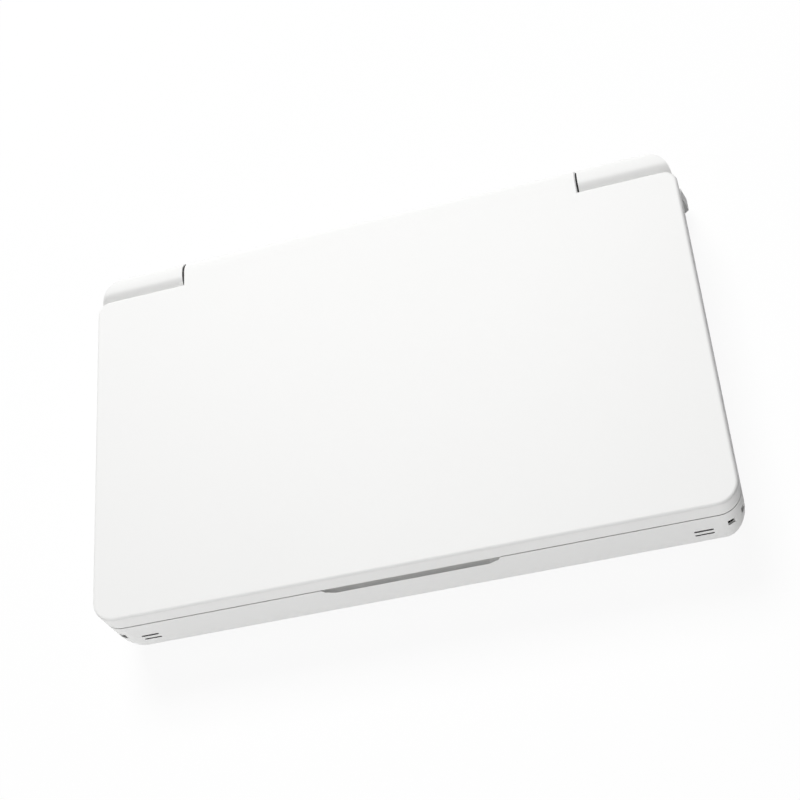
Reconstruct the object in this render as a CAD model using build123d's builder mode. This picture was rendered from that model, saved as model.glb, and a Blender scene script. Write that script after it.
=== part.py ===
from build123d import *
import os
from math import atan2, degrees

os.makedirs("parts", exist_ok=True)

# Clamshell handheld gaming computer, shut. Millimetres. The origin is under the middle of
# the object on the surface it stands on. +X is to the right, +Y to the hinge, +Z up.

# Overall sizes
body_width = 166.0
body_depth = 108.7
total_height = 26.0
foot_height = 1.6
lid_thickness = 5.5
seam_gap = 0.4
front_corner_radius = 6.2
rear_corner_radius = 7.5
edge_rise = 11.5
edge_inset = 5.2
edge_small_radius = 3.8
wall = 1.5

# Hinge line
barrel_radius = 6.0
barrel_wall = 1.2
barrel_gap = 0.4
tongue_half_width = 56.65
shoulder_gap = 0.5
shoulder_inset = 1.0
shoulder_corner_radius = 11.5
shoulder_end_wall = 2.6
shaft_radius = 1.5
shaft_clearance = 0.05
trough_wall = 1.4
shelf_thickness = 1.4

# Lid
lid_side_rear = 44.5
lid_rear_corner_radius = 3.6
lid_top_wall = 1.2
lid_side_wall = 1.3
lid_edge_fillet = 0.8
glass_thickness = 0.9
glass_recess = 0.4
frame_lip = 0.75
frame_ring_thickness = 1.2
panel_thickness = 2.3
screen_width = 155.8
screen_depth = 88.0

# Deck
deck_recess = 0.8
deck_thickness = 1.3
deck_side_margin = 4.5
deck_front_margin = 4.0
deck_rear_margin = 3.9
fit_gap = 0.1
hole_gap = 0.2
pivot_gap = 0.06

# Keyboard
key_columns = 13
key_pitch_x = 10.9
key_pitch_y = 8.6
key_gap = 1.6
key_hole_gap = 0.3
key_height = 2.1
key_rise = 0.9
keyboard_front_margin = 5.35
keyboard_plate_thickness = 0.8
keyboard_rib_height = 0.8
key_rows = {
    "number_keys": [1.0] * 13,
    "upper_letter_keys": [1.0] * 13,
    "home_letter_keys": [1.25] + [1.0] * 10 + [1.75],
    "lower_letter_keys": [1.5] + [1.0] * 10 + [1.5],
    "space_bar_keys": [1.0] * 4 + [3.0] + [1.0] * 6,
}

# Controls on the deck
stick_x = 68.0
stick_y = 21.0
stick_cap_radius = 5.8
stick_cap_thickness = 2.2
stick_cap_top = 19.0
stick_pivot_drop = 8.0
stick_cup_radius = 8.8
stick_cup_floor = 0.8
stick_cup_depth = 5.4
ball_radius = 3.7
ball_chamfer = 2.1
stick_ring_inner = 4.3
stick_ring_outer = 5.1
stick_module_side = 14.6
stick_module_height = 7.5
stick_stem_radius = 1.4
stick_pin_radius = 0.6
pad_x = 46.0
pad_y = 22.0
dpad_span = 17.0
dpad_arm = 5.6
dpad_flange_radius = 8.2
dpad_gap = 0.5
face_button_radius = 3.3
face_button_offset = 7.0
small_button_radius = 1.9
small_button_x = 28.5
start_y = 12.0
power_y = 34.0
button_flange = 0.6
button_flange_thickness = 0.7
button_rise = 0.9
small_button_rise = 0.4
button_travel = 0.7
touchpad_width = 38.2
touchpad_depth = 23.6
touchpad_y = 24.0
touchpad_thickness = 1.35
board_thickness = 1.0
button_board_drop = 2.6

# Rear buttons
trigger_inner = 63.6
trigger_front = 45.0
trigger_bottom = 4.1
trigger_top = 11.4
trigger_flare = 1.0
trigger_corner_radius = 6.5
trigger_edge_height = 5.6
trigger_edge_band = 0.2
trigger_wall = 1.2
trigger_pivot_y = 47.5
trigger_pivot_z = 9.4
trigger_pin_radius = 0.8
trigger_pocket_gap = 1.2

# Front face
notch_width = 45.0
notch_height = 2.5
notch_depth = 1.9
speaker_slot_x = 72.25
speaker_slot_length = 4.9
speaker_slot_height = 0.85
speaker_slot_heights = [13.3, 11.15]
strap_hole_bottom = 13.4
strap_hole_height = 2.3
strap_channel_radius = 4.6
strap_channel_width = 1.9
strap_block_radius = 5.3
strap_front_angles = (284.0, 303.0)
strap_side_angles = (326.0, 345.0)

# Underside
cover_thickness = 1.5
cover_inset = 6.7
cover_gap = 0.15
screw_x = 73.9
screw_rows = [-33.0, -2.0, 38.5]
screw_head_radius = 1.7
screw_head_height = 1.0
screw_radius = 0.9
boss_radius = 2.2
foot_length = 12.0
foot_width = 5.0
foot_x = 60.0
foot_rows = [-40.0, 40.0]
foot_recess = 0.5
back_button_x = 62.0
back_button_y = 6.0
back_button_length = 14.0
back_button_width = 6.0
back_button_rise = 0.7

# Inside the base
mainboard_height = 4.6
usb_a_width = 13.1
usb_a_height = 5.7
usb_a_depth = 14.0
usb_a_x = -31.0
usb_c_width = 8.94
usb_c_height = 3.16
usb_c_depth = 7.4
usb_c_places = [-49.0, -14.0]
socket_skin = 0.3
jack_x = 51.5
jack_radius = 1.8
jack_nose_radius = 2.6
jack_depth = 12.0
vent_centre = 25.0
vent_width = 38.0
vent_height = 6.6
vent_bottom = 4.6
vent_bars = 12
fan_side = 42.0
fan_height = 6.2
fan_x = 26.0
fan_y = 20.0
fan_blades = 13
fan_rotor_radius = 17.5
fan_hub_radius = 8.0
fan_inlet_radius = 14.0
fan_pin_radius = 1.0
battery_width = 100.0
battery_depth = 42.0
battery_height = 8.6
battery_y = -26.0
board_half_width = 57.0
board_front = -3.0
board_rear = 51.5
chip_x = -14.0
chip_y = 17.0
drive_x = -40.0
drive_front = 7.5
drive_width = 22.0
drive_length = 30.0
fan_wall = 0.6
fins_width = 40.0
fins_front = 41.5
fins_bottom = 3.6
fins_top = 9.0
fin_count = 17
pipe_width = 8.0
pipe_height = 2.2
pipe_y = 46.5
speaker_bottom = 7.0
speaker_front = -50.5

# Places worked out from the sizes above
half_width = body_width / 2
edge_large_radius = (edge_inset**2 + edge_rise**2 - 2 * edge_rise * edge_small_radius) / (
    2 * (edge_inset - edge_small_radius)
)
front_y = -body_depth / 2
rear_y = body_depth / 2
axis_y = rear_y - barrel_radius
axis_z = total_height - barrel_radius
lid_bottom = total_height - lid_thickness
base_top = lid_bottom - seam_gap
base_bottom = foot_height
deck_floor = base_top - deck_recess
deck_under = deck_floor - deck_thickness
trough_radius = barrel_radius + barrel_gap
trough_outer_radius = trough_radius + trough_wall
shelf_top = axis_z - trough_radius
shelf_under = shelf_top - shelf_thickness
cover_top = base_bottom + cover_thickness
recess_half_width = half_width - deck_side_margin
recess_front = front_y + deck_front_margin
recess_rear = axis_y - trough_radius - deck_rear_margin
key_area_front = front_y + keyboard_front_margin
key_area_depth = key_pitch_y * len(key_rows)
key_area_width = key_pitch_x * key_columns
key_area_y = key_area_front + key_area_depth / 2
keyboard_frame_width = key_area_width + 2 * key_hole_gap
keyboard_frame_depth = key_area_depth + 2 * key_hole_gap
rib_width = 1.5
rib_overlap = 0.5
rib_under = deck_under - keyboard_rib_height
button_board_top = deck_under - button_board_drop
stick_pivot_z = stick_cap_top - stick_pivot_drop
stick_cup_top = deck_floor - stick_cup_depth
stick_cup_under = stick_cup_top - stick_cup_floor
board_under = mainboard_height
board_top = mainboard_height + board_thickness
chip_top = board_top + 1.2
drive_bottom = board_top + 1.0
battery_bottom = cover_top + 0.2
sides = {"left": -1, "right": 1}
button_board_posts = [(31.0, 22.0), (54.0, 9.0), (54.0, 35.0)]
trigger_lugs = [67.5, 78.5]
trigger_lug_width = 2.2
trigger_lug_radius = 1.8
bracket_inner = 58.6
bracket_eye_radius = 3.2
bracket_foot_thickness = 1.4
leaf_inner = 47.0
leaf_plate_thickness = 2.0
leaf_hollow_half_width = tongue_half_width - barrel_wall
lid_hollow_rear = lid_side_rear - 5.0
lid_hollow_top = total_height - lid_top_wall
tongue_edge_chamfer = 0.3
screw_length = 6.0
standoff_places = [(-53.0, 2.0), (-53.0, 30.0), (1.5, 2.0), (1.5, 40.0), (51.5, 4.0), (51.5, 34.0)]
vent_slot_pitch = 3.8
vent_slot_length = 13.0
vent_slot_width = 1.6
vent_slot_columns = 7
vent_slot_rows = 2
vent_bar_width = 0.9
vent_pitch = (vent_width - 2.0) / vent_bars
stick_ring_half_height = 0.8
ball_pin_radius = 0.5
bumper_x = 79.7
bumper_rows = [-40.0, 28.0]
bumper_length = 8.0
bumper_width = 1.5
shoulder_lower_rear = -58
shoulder_arc = 263
bracket_thickness = 2.8
bracket_front = 3.3
bracket_rear = 1.9
face_button_places = [
    (pad_x + face_button_offset, pad_y),
    (pad_x, pad_y - face_button_offset),
    (pad_x - face_button_offset, pad_y),
    (pad_x, pad_y + face_button_offset),
]
small_button_places = [(-small_button_x, start_y), (small_button_x, start_y), (small_button_x, power_y)]


def block(x0, x1, y0, y1, z0, z1, radius=0.0, mode=Mode.ADD):
    """A block between two corners, its upright edges rounded by radius."""
    centre = ((x0 + x1) / 2, (y0 + y1) / 2)
    with BuildSketch(Plane.XY.offset(z0)) as face:
        with Locations(centre):
            if radius > 0:
                RectangleRounded(x1 - x0, y1 - y0, radius)
            else:
                Rectangle(x1 - x0, y1 - y0)
    extrude(face.sketch, amount=z1 - z0, mode=mode)


def post(x, y, z0, z1, radius, mode=Mode.ADD, facets=12):
    """An upright post or hole with many flat sides, which keeps small round features light.

    A post lies inside its radius and a hole outside it, so a post turns freely in a larger hole.
    """
    with BuildSketch(Plane.XY.offset(z0)) as face:
        with Locations((x, y)):
            RegularPolygon(radius, facets, major_radius=mode == Mode.ADD)
    extrude(face.sketch, amount=z1 - z0, mode=mode)


def dish(x, y, top, radius, depth, facets):
    """A shallow dish with sloping sides, to take off a top."""
    with BuildPart() as hollow:
        post(x, y, top - depth, top, radius, facets=facets)
        chamfer(hollow.edges().group_by(Axis.Z)[0], length=0.9 * depth, length2=0.4 * radius)
    return hollow.part


def rod(x0, x1, y, z, radius, mode=Mode.ADD, facets=10):
    """A rod or hole along X between x0 and x1, many-sided unless facets is 0."""
    with BuildSketch(Plane.YZ.offset(x0)) as face:
        with Locations((y, z)):
            if facets:
                RegularPolygon(radius, facets, major_radius=mode == Mode.ADD)
            else:
                Circle(radius)
    extrude(face.sketch, amount=x1 - x0, mode=mode)


def pill(plane, x, y, length, width):
    """A pill's outline as a sketch on a plane, length along the plane's X over the ends."""
    middle = length - width
    with BuildSketch(plane) as outline:
        with Locations((x, y)):
            Rectangle(middle, width)
        with Locations((x - middle / 2, y), (x + middle / 2, y)):
            RegularPolygon(width / 2, 8)
    return outline.sketch


def slot(x, y, z0, z1, length, width, mode=Mode.ADD):
    """An upright pill, length along X over its ends."""
    extrude(pill(Plane.XY.offset(z0), x, y, length, width), amount=z1 - z0, mode=mode)


def plan_outline(inset, height):
    """The base's outline from above, moved in by inset, as a sketch at a height."""
    with BuildSketch(Plane.XY.offset(height)) as outline:
        Rectangle(body_width - 2 * inset, body_depth - 2 * inset)
        corners = outline.vertices().group_by(Axis.Y)
        fillet(corners[0], radius=front_corner_radius - inset)
        fillet(outline.vertices().group_by(Axis.Y)[-1], radius=rear_corner_radius - inset)
    return outline.sketch


def lower_edge_section(plane, inset):
    """What the rounded lower edge leaves out, as a sketch on a plane: two arcs that meet smoothly.

    Inside the wall, where it doesn't show, two straight runs take the arcs' place.
    """
    large_x, large_z = edge_large_radius - inset, edge_rise - inset
    small_x, small_z = edge_inset - inset, edge_small_radius - inset
    meeting_angle = 180.0 + degrees(atan2(large_z - small_z, large_x - small_x))
    with BuildSketch(plane) as section:
        with BuildLine():
            arc_mode = Mode.PRIVATE if inset else Mode.ADD
            side_arc = CenterArc((large_x, large_z), large_x, 180.0, meeting_angle - 180.0, mode=arc_mode)
            foot_arc = CenterArc((small_x, small_z), small_z, meeting_angle, 270.0 - meeting_angle,
                                 mode=arc_mode)
            if inset:
                Polyline(side_arc @ 0, side_arc @ 1, foot_arc @ 1)
            Polyline(foot_arc @ 1, (small_x, -2.0), (-2.0, -2.0), (-2.0, large_z), side_arc @ 0)
        make_face()
    return section.sketch


def lower_edge_cutter(inset):
    """What is taken off the front and both sides to round their lower edge."""
    side_start = front_y + front_corner_radius
    section_z = base_bottom + inset
    side_plane = Plane(origin=(-half_width + inset, side_start, section_z), x_dir=(1, 0, 0), z_dir=(0, -1, 0))
    side_section = lower_edge_section(side_plane, inset)
    front_plane = Plane(origin=(-half_width + front_corner_radius, front_y + inset, section_z),
                        x_dir=(0, 1, 0), z_dir=(1, 0, 0))
    with BuildPart() as left_edge:
        extrude(side_section, amount=-(rear_y + 5.0 - side_start))
        revolve(side_section, axis=Axis((-half_width + front_corner_radius, side_start, 0), (0, 0, 1)),
                revolution_arc=90.0)
    with BuildPart() as cutter:
        extrude(lower_edge_section(front_plane, inset), amount=body_width - 2 * front_corner_radius)
        add(left_edge.part)
        mirror(left_edge.part, about=Plane.YZ)
    return cutter.part


def ring_sector(centre, inner, outer, start, end, height):
    """A flat piece of a ring between two angles, as a sketch at a height."""
    with BuildSketch(Plane.XY.offset(height)) as sector:
        with BuildLine():
            outside = CenterArc(centre, outer, start, end - start)
            inside = CenterArc(centre, inner, start, end - start)
            Line(outside @ 0, inside @ 0)
            Line(outside @ 1, inside @ 1)
        make_face()
    return sector.sketch


def trough_profile(radius, floor):
    """The hinge trough seen from the side: the barrel's circle, open to the rear above its floor."""
    with BuildSketch(Plane.YZ.offset(-half_width - 1.0)) as profile:
        with Locations((axis_y, axis_z)):
            Circle(radius)
        with Locations((axis_y + body_depth / 4, (floor + axis_z + barrel_radius) / 2)):
            Rectangle(body_depth / 2, axis_z + barrel_radius - floor)
    return profile.sketch


# Passage for a wrist strap in each front corner: in at the front, round a post, out at the side
strap_centre = (half_width - front_corner_radius, front_y + front_corner_radius)
strap_inner_radius = strap_channel_radius - strap_channel_width
with BuildPart() as strap_passage_right:
    extrude(ring_sector(strap_centre, strap_inner_radius, strap_channel_radius, strap_front_angles[0],
                        strap_side_angles[1], strap_hole_bottom), amount=strap_hole_height)
    for start, end in (strap_front_angles, strap_side_angles):
        extrude(ring_sector(strap_centre, strap_inner_radius + 0.5, front_corner_radius + 1.0, start, end,
                            strap_hole_bottom), amount=strap_hole_height)
with BuildPart() as strap_passage_left:
    mirror(strap_passage_right.part, about=Plane.YZ)
strap_passages = [strap_passage_left.part, strap_passage_right.part]

# Base shell: deck, side walls and rounded lower edge in one moulding
with BuildPart() as base_cavity:
    extrude(plan_outline(wall, base_bottom), amount=deck_under - base_bottom)
    add(lower_edge_cutter(wall), mode=Mode.SUBTRACT)
    block(-half_width, half_width, front_y, rear_y, base_bottom, cover_top, mode=Mode.SUBTRACT)
    extrude(trough_profile(trough_outer_radius, shelf_under), amount=body_width + 2.0, mode=Mode.SUBTRACT)

cover_front = front_y + cover_inset
cover_rear = rear_y - wall - 1.5
cover_half_width = half_width - cover_inset

with BuildPart() as base_shell:
    extrude(plan_outline(0.0, base_bottom), amount=base_top - base_bottom)
    add(lower_edge_cutter(0.0), mode=Mode.SUBTRACT)
    add(base_cavity.part, mode=Mode.SUBTRACT)
    block(-cover_half_width, cover_half_width, cover_front, cover_rear, base_bottom, cover_top,
          radius=3.0, mode=Mode.SUBTRACT)
    # The trough that the hinge barrel and the shoulder buttons lie in
    extrude(trough_profile(trough_radius, shelf_top), amount=body_width + 2.0, mode=Mode.SUBTRACT)
    # The deck's sunk floor, which keeps the keys clear of the shut screen
    block(-recess_half_width, recess_half_width, recess_front, recess_rear, deck_floor, base_top,
          radius=3.0, mode=Mode.SUBTRACT)
    # Window for the keyboard, with a rib to carry it along each long side
    block(-keyboard_frame_width / 2 - fit_gap, keyboard_frame_width / 2 + fit_gap,
          key_area_y - keyboard_frame_depth / 2 - fit_gap, key_area_y + keyboard_frame_depth / 2 + fit_gap,
          deck_under, deck_floor, mode=Mode.SUBTRACT)
    for end in (-1, 1):
        rib_inner = key_area_y + end * (keyboard_frame_depth / 2 - rib_overlap)
        rib_outer = rib_inner + end * rib_width
        block(-keyboard_frame_width / 2, keyboard_frame_width / 2, min(rib_inner, rib_outer),
              max(rib_inner, rib_outer), rib_under, deck_under)
    # Thicker wall behind the finger notch, then the notch itself with sloping ends
    block(-notch_width / 2 - wall, notch_width / 2 + wall, front_y + 1.0, front_y + notch_depth + wall,
          base_top - notch_height - wall, deck_under)
    with BuildSketch(Plane.XZ.offset(-front_y)) as notch_face:
        with BuildLine():
            Polyline(
                (-notch_width / 2 - notch_height / 2, base_top + 1.0),
                (-notch_width / 2, base_top - notch_height / 2),
                (-notch_width / 2 + notch_height, base_top - notch_height),
                (notch_width / 2 - notch_height, base_top - notch_height),
                (notch_width / 2, base_top - notch_height / 2),
                (notch_width / 2 + notch_height / 2, base_top + 1.0),
                close=True,
            )
        make_face()
    extrude(notch_face.sketch, amount=-notch_depth, mode=Mode.SUBTRACT)
    for side in sides.values():
        # Cup for the stick, its floor pierced for the ball
        post(side * stick_x, stick_y, stick_cup_under, deck_under, stick_cup_radius + 1.2, facets=24)
        post(side * stick_x, stick_y, stick_cup_top, deck_floor, stick_cup_radius, mode=Mode.SUBTRACT,
             facets=24)
        post(side * stick_x, stick_y, stick_cup_under, stick_cup_top, ball_radius, mode=Mode.SUBTRACT)
        # Corner block that the wrist strap's passage runs through
        corner_x = side * (half_width - front_corner_radius)
        corner_y = front_y + front_corner_radius
        with BuildSketch(Plane.XY.offset(strap_hole_bottom - wall)) as strap_block:
            with Locations((corner_x, corner_y)):
                Circle(strap_block_radius)
            with Locations((corner_x + side * strap_block_radius / 2, corner_y - strap_block_radius / 2)):
                Rectangle(strap_block_radius, strap_block_radius, mode=Mode.INTERSECT)
        extrude(strap_block.sketch, amount=strap_hole_height + 2 * wall)
        # Posts that the bottom cover and the button boards are fixed to
        for row in screw_rows:
            post(side * screw_x, row, cover_top, deck_under, boss_radius, facets=8)
            post(side * screw_x, row, cover_top, cover_top + screw_length, screw_radius + 0.05,
                 mode=Mode.SUBTRACT, facets=8)
        for post_x, post_y in button_board_posts:
            post(side * post_x, post_y, button_board_top, deck_under, 1.6, facets=8)
        # Lugs that carry the trigger's pin
        for lug_x in trigger_lugs:
            with BuildSketch(Plane.YZ.offset(side * lug_x - trigger_lug_width / 2)) as lug:
                with Locations((trigger_pivot_y, (trigger_pivot_z + shelf_top) / 2)):
                    Rectangle(2 * trigger_lug_radius, shelf_top - trigger_pivot_z)
                with Locations((trigger_pivot_y, trigger_pivot_z)):
                    RegularPolygon(trigger_lug_radius, 12)
            extrude(lug.sketch, amount=trigger_lug_width)
            rod(side * lug_x - trigger_lug_width / 2, side * lug_x + trigger_lug_width / 2, trigger_pivot_y,
                trigger_pivot_z, trigger_pin_radius + 0.02, mode=Mode.SUBTRACT)
        # Opening at the rear corner for the trigger, and a slot in the trough for the hinge bracket
        pocket_x = (side * (trigger_inner - 0.3), side * (half_width + 2.0))
        block(min(pocket_x), max(pocket_x), trigger_front - trigger_pocket_gap, rear_y + 1.0,
              trigger_bottom - trigger_pocket_gap, shelf_under, mode=Mode.SUBTRACT)
        slot_x = (side * (bracket_inner - 0.3), side * (bracket_inner + bracket_thickness + 0.3))
        block(min(slot_x), max(slot_x), axis_y - bracket_front - 0.3, axis_y + bracket_rear + 0.3,
              shelf_under - 1.0, shelf_top + 1.0, mode=Mode.SUBTRACT)
    for passage in strap_passages:
        add(passage, mode=Mode.SUBTRACT)
    # Speaker slots, two a side
    for side in sides.values():
        for height in speaker_slot_heights:
            speaker_slot = pill(Plane.XZ.offset(-front_y + 1.0), side * speaker_slot_x, height,
                                speaker_slot_length, speaker_slot_height)
            extrude(speaker_slot, amount=-(wall + 2.0), mode=Mode.SUBTRACT)
    # Holes in the deck for the buttons, the cross pad and the touchpad
    for button_x, button_y in face_button_places:
        post(button_x, button_y, deck_under, deck_floor, face_button_radius + hole_gap, mode=Mode.SUBTRACT)
    for button_x, button_y in small_button_places:
        post(button_x, button_y, deck_under, deck_floor, small_button_radius + hole_gap, mode=Mode.SUBTRACT)
    for length, width in ((dpad_span, dpad_arm), (dpad_arm, dpad_span)):
        block(-pad_x - length / 2 - dpad_gap, -pad_x + length / 2 + dpad_gap, pad_y - width / 2 - dpad_gap,
              pad_y + width / 2 + dpad_gap, deck_under, deck_floor, mode=Mode.SUBTRACT)
    block(-touchpad_width / 2 - hole_gap, touchpad_width / 2 + hole_gap,
          touchpad_y - touchpad_depth / 2 - hole_gap, touchpad_y + touchpad_depth / 2 + hole_gap,
          deck_under, deck_floor, mode=Mode.SUBTRACT)
    # Openings in the rear wall for the sockets and the fan's outlet
    for port_x in usb_c_places:
        port_hole = pill(Plane.XZ.offset(-rear_y - 1.0), port_x, board_top + usb_c_height / 2,
                         usb_c_width + 2 * fit_gap, usb_c_height + 2 * fit_gap)
        extrude(port_hole, amount=wall + 2.0, mode=Mode.SUBTRACT)
    block(usb_a_x - usb_a_width / 2 - fit_gap, usb_a_x + usb_a_width / 2 + fit_gap, rear_y - wall - 1.0,
          rear_y + 1.0, board_top - fit_gap, board_top + usb_a_height + fit_gap, mode=Mode.SUBTRACT)
    with BuildSketch(Plane.XZ.offset(-rear_y - 1.0)) as jack_hole:
        with Locations((jack_x, board_top + jack_nose_radius)):
            RegularPolygon(jack_nose_radius + fit_gap, 16)
    extrude(jack_hole.sketch, amount=wall + 2.0, mode=Mode.SUBTRACT)
    block(vent_centre - vent_width / 2, vent_centre + vent_width / 2, rear_y - wall - 1.0, rear_y + 1.0,
          vent_bottom, vent_bottom + vent_height, mode=Mode.SUBTRACT)
base_shell.part.label = "base_shell"
export_step(base_shell.part, "parts/base_shell.step")

# Lid cover: flat shell, the tongue that runs on over the hinge, and the rear half of the barrel
with BuildPart() as lid_tongue:
    with BuildSketch(Plane.YZ.offset(-tongue_half_width)) as tongue_profile:
        with Locations(((lid_side_rear - 6.0 + axis_y) / 2, (lid_bottom + total_height) / 2)):
            Rectangle(axis_y - lid_side_rear + 6.0, lid_thickness)
        with Locations((axis_y, axis_z)):
            Circle(barrel_radius)
    extrude(amount=2 * tongue_half_width)
    for end_face in (lid_tongue.faces().sort_by(Axis.X)[0], lid_tongue.faces().sort_by(Axis.X)[-1]):
        outer_edges = end_face.edges().filter_by(
            lambda edge: edge.length > 8.0 or edge.center().Z > lid_hollow_top
        )
        chamfer(outer_edges, length=tongue_edge_chamfer)

with BuildPart() as lid_cover:
    with BuildSketch(Plane.XY.offset(lid_bottom)) as lid_plan:
        with Locations((0.0, (front_y + lid_side_rear) / 2)):
            Rectangle(body_width, lid_side_rear - front_y)
        fillet(lid_plan.vertices().group_by(Axis.Y)[0], radius=front_corner_radius)
        fillet(lid_plan.vertices().group_by(Axis.Y)[-1], radius=lid_rear_corner_radius)
    extrude(amount=lid_thickness)
    fillet(lid_cover.edges().group_by(Axis.Z)[-1], radius=lid_edge_fillet)
    add(lid_tongue.part)
    for side in sides.values():
        ends = (side * tongue_half_width, side * (half_width + 1.0))
        rod(min(ends), max(ends), axis_y, axis_z, trough_radius, mode=Mode.SUBTRACT, facets=0)
    # Hollow for the screen and the hinge leaves
    block(-half_width + lid_side_wall, half_width - lid_side_wall, front_y + lid_side_wall, lid_hollow_rear,
          lid_bottom, lid_hollow_top, radius=front_corner_radius - lid_side_wall, mode=Mode.SUBTRACT)
    block(-leaf_hollow_half_width, leaf_hollow_half_width, lid_hollow_rear - 6.0, axis_y, lid_bottom,
          lid_hollow_top, mode=Mode.SUBTRACT)
    rod(-leaf_hollow_half_width, leaf_hollow_half_width, axis_y, axis_z, barrel_radius - barrel_wall,
        mode=Mode.SUBTRACT, facets=0)
    block(-leaf_hollow_half_width, leaf_hollow_half_width, axis_y - barrel_radius - 1.0, axis_y,
          axis_z - barrel_radius - 1.0, lid_bottom, mode=Mode.SUBTRACT)
    rod(-tongue_half_width, tongue_half_width, axis_y, axis_z, shaft_radius + 0.25, mode=Mode.SUBTRACT,
        facets=0)
lid_cover.part.label = "lid_cover"
export_step(lid_cover.part, "parts/lid_cover.step")

# Hinge cover: the front lower quarter of the barrel, with a lip that runs under the tongue
with BuildPart() as hinge_cover:
    inner_radius = barrel_radius - barrel_wall
    with BuildSketch(Plane.YZ.offset(-leaf_hollow_half_width + fit_gap)) as hinge_cover_profile:
        with BuildLine():
            outside = CenterArc((axis_y, axis_z), barrel_radius, 180, 90)
            inside = CenterArc((axis_y, axis_z), inner_radius, 180, 90)
            Line(outside @ 1, inside @ 1)
            Polyline(
                inside @ 0,
                (axis_y - inner_radius, lid_bottom + 1.1),
                (lid_hollow_rear + fit_gap, lid_bottom + 1.1),
                (lid_hollow_rear + fit_gap, lid_bottom),
                (axis_y - barrel_radius, lid_bottom),
                outside @ 0,
            )
        make_face()
    extrude(amount=2 * (leaf_hollow_half_width - fit_gap))
hinge_cover.part.label = "hinge_cover"
export_step(hinge_cover.part, "parts/hinge_cover.step")

# Screen: frame with a raised lip, cover glass, and the panel behind the glass
glass_bottom = lid_bottom + glass_recess
glass_top = glass_bottom + glass_thickness
frame_half_width = half_width - lid_side_wall - fit_gap
frame_front = front_y + lid_side_wall + fit_gap
frame_rear = lid_hollow_rear - fit_gap
screen_y = (frame_front + frame_rear) / 2
frame_radius = front_corner_radius - lid_side_wall - fit_gap
with BuildPart() as screen_frame:
    block(-frame_half_width, frame_half_width, frame_front, frame_rear, glass_bottom,
          glass_top + frame_ring_thickness, radius=frame_radius)
    block(-frame_half_width + frame_lip, frame_half_width - frame_lip, frame_front + frame_lip,
          frame_rear - frame_lip, glass_bottom, glass_top, radius=frame_radius - frame_lip,
          mode=Mode.SUBTRACT)
    block(-screen_width / 2 - fit_gap, screen_width / 2 + fit_gap, screen_y - screen_depth / 2 - fit_gap,
          screen_y + screen_depth / 2 + fit_gap, glass_top, glass_top + frame_ring_thickness,
          mode=Mode.SUBTRACT)
screen_frame.part.label = "screen_frame"
export_step(screen_frame.part, "parts/screen_frame.step")

glass_edge = frame_lip + fit_gap
with BuildPart() as display_glass:
    block(-frame_half_width + glass_edge, frame_half_width - glass_edge, frame_front + glass_edge,
          frame_rear - glass_edge, glass_bottom, glass_top, radius=frame_radius - glass_edge)
display_glass.part.label = "display_glass"
export_step(display_glass.part, "parts/display_glass.step")

with BuildPart() as display_panel:
    block(-screen_width / 2, screen_width / 2, screen_y - screen_depth / 2, screen_y + screen_depth / 2,
          glass_top, glass_top + panel_thickness)
display_panel.part.label = "display_panel"
export_step(display_panel.part, "parts/display_panel.step")

with BuildPart() as lid_bumpers:
    for side in sides.values():
        for row in bumper_rows:
            with BuildSketch(Plane.XY.offset(base_top + 0.05)) as pad:
                with Locations((side * bumper_x, row)):
                    Rectangle(bumper_width, bumper_length)
            extrude(pad.sketch, amount=glass_bottom - base_top - 0.05)
lid_bumpers.part.label = "lid_bumpers"
export_step(lid_bumpers.part, "parts/lid_bumpers.step")

# Hinges: a leaf and shaft on the lid, and a bracket with an eye on the base, at each end of the barrel
for name, side in sides.items():
    shaft_ends = (side * leaf_inner, side * (bracket_inner + bracket_thickness + 0.8))
    block_ends = (side * leaf_inner, side * (leaf_hollow_half_width - 0.2))
    plate_ends = (side * (leaf_inner - 7.0), side * (leaf_hollow_half_width - 0.2))
    with BuildPart() as hinge_leaf:
        rod(min(shaft_ends), max(shaft_ends), axis_y, axis_z, shaft_radius, facets=0)
        rod(min(block_ends), max(block_ends), axis_y, axis_z, 2 * shaft_radius)
        block(min(plate_ends), max(plate_ends), lid_hollow_rear + 0.3, axis_y,
              lid_hollow_top - leaf_plate_thickness, lid_hollow_top)
    hinge_leaf.part.label = f"hinge_leaf_{name}"
    export_step(hinge_leaf.part, f"parts/hinge_leaf_{name}.step")

    bracket_ends = (side * bracket_inner, side * (bracket_inner + bracket_thickness))
    with BuildPart() as hinge_bracket:
        with BuildSketch(Plane.YZ.offset(min(bracket_ends))) as bracket_profile:
            with Locations((axis_y, axis_z)):
                RegularPolygon(bracket_eye_radius, 12)
            with Locations((axis_y + (bracket_rear - bracket_front) / 2, (axis_z + shelf_under) / 2)):
                Rectangle(bracket_rear + bracket_front, axis_z - shelf_under)
            with Locations((axis_y, axis_z)):
                Circle(shaft_radius + shaft_clearance, mode=Mode.SUBTRACT)
        extrude(bracket_profile.sketch, amount=bracket_thickness)
        block(min(bracket_ends) - 0.9, max(bracket_ends) + 0.9, axis_y - bracket_front, axis_y + 4.2,
              shelf_under - bracket_foot_thickness, shelf_under)
    hinge_bracket.part.label = f"hinge_bracket_{name}"
    export_step(hinge_bracket.part, f"parts/hinge_bracket_{name}.step")

# Shoulder buttons: each continues the barrel's curve beside the tongue, as a hollow shell
shoulder_outer = half_width - shoulder_inset
shoulder_start = tongue_half_width + shoulder_gap


def shoulder_plan(inset):
    """The button seen from above, its outer rear corner rounded, moved in by inset, as a sketch."""
    with BuildSketch(Plane.XY.offset(shelf_top)) as plan:
        with Locations((shoulder_outer - inset - 3 * barrel_radius, axis_y - inset - barrel_radius)):
            Rectangle(6 * barrel_radius, 4 * barrel_radius)
        outer_corner = plan.vertices().group_by(Axis.X)[-1].sort_by(Axis.Y)[-1]
        fillet(outer_corner, radius=shoulder_corner_radius - inset)
    return plan.sketch


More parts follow.
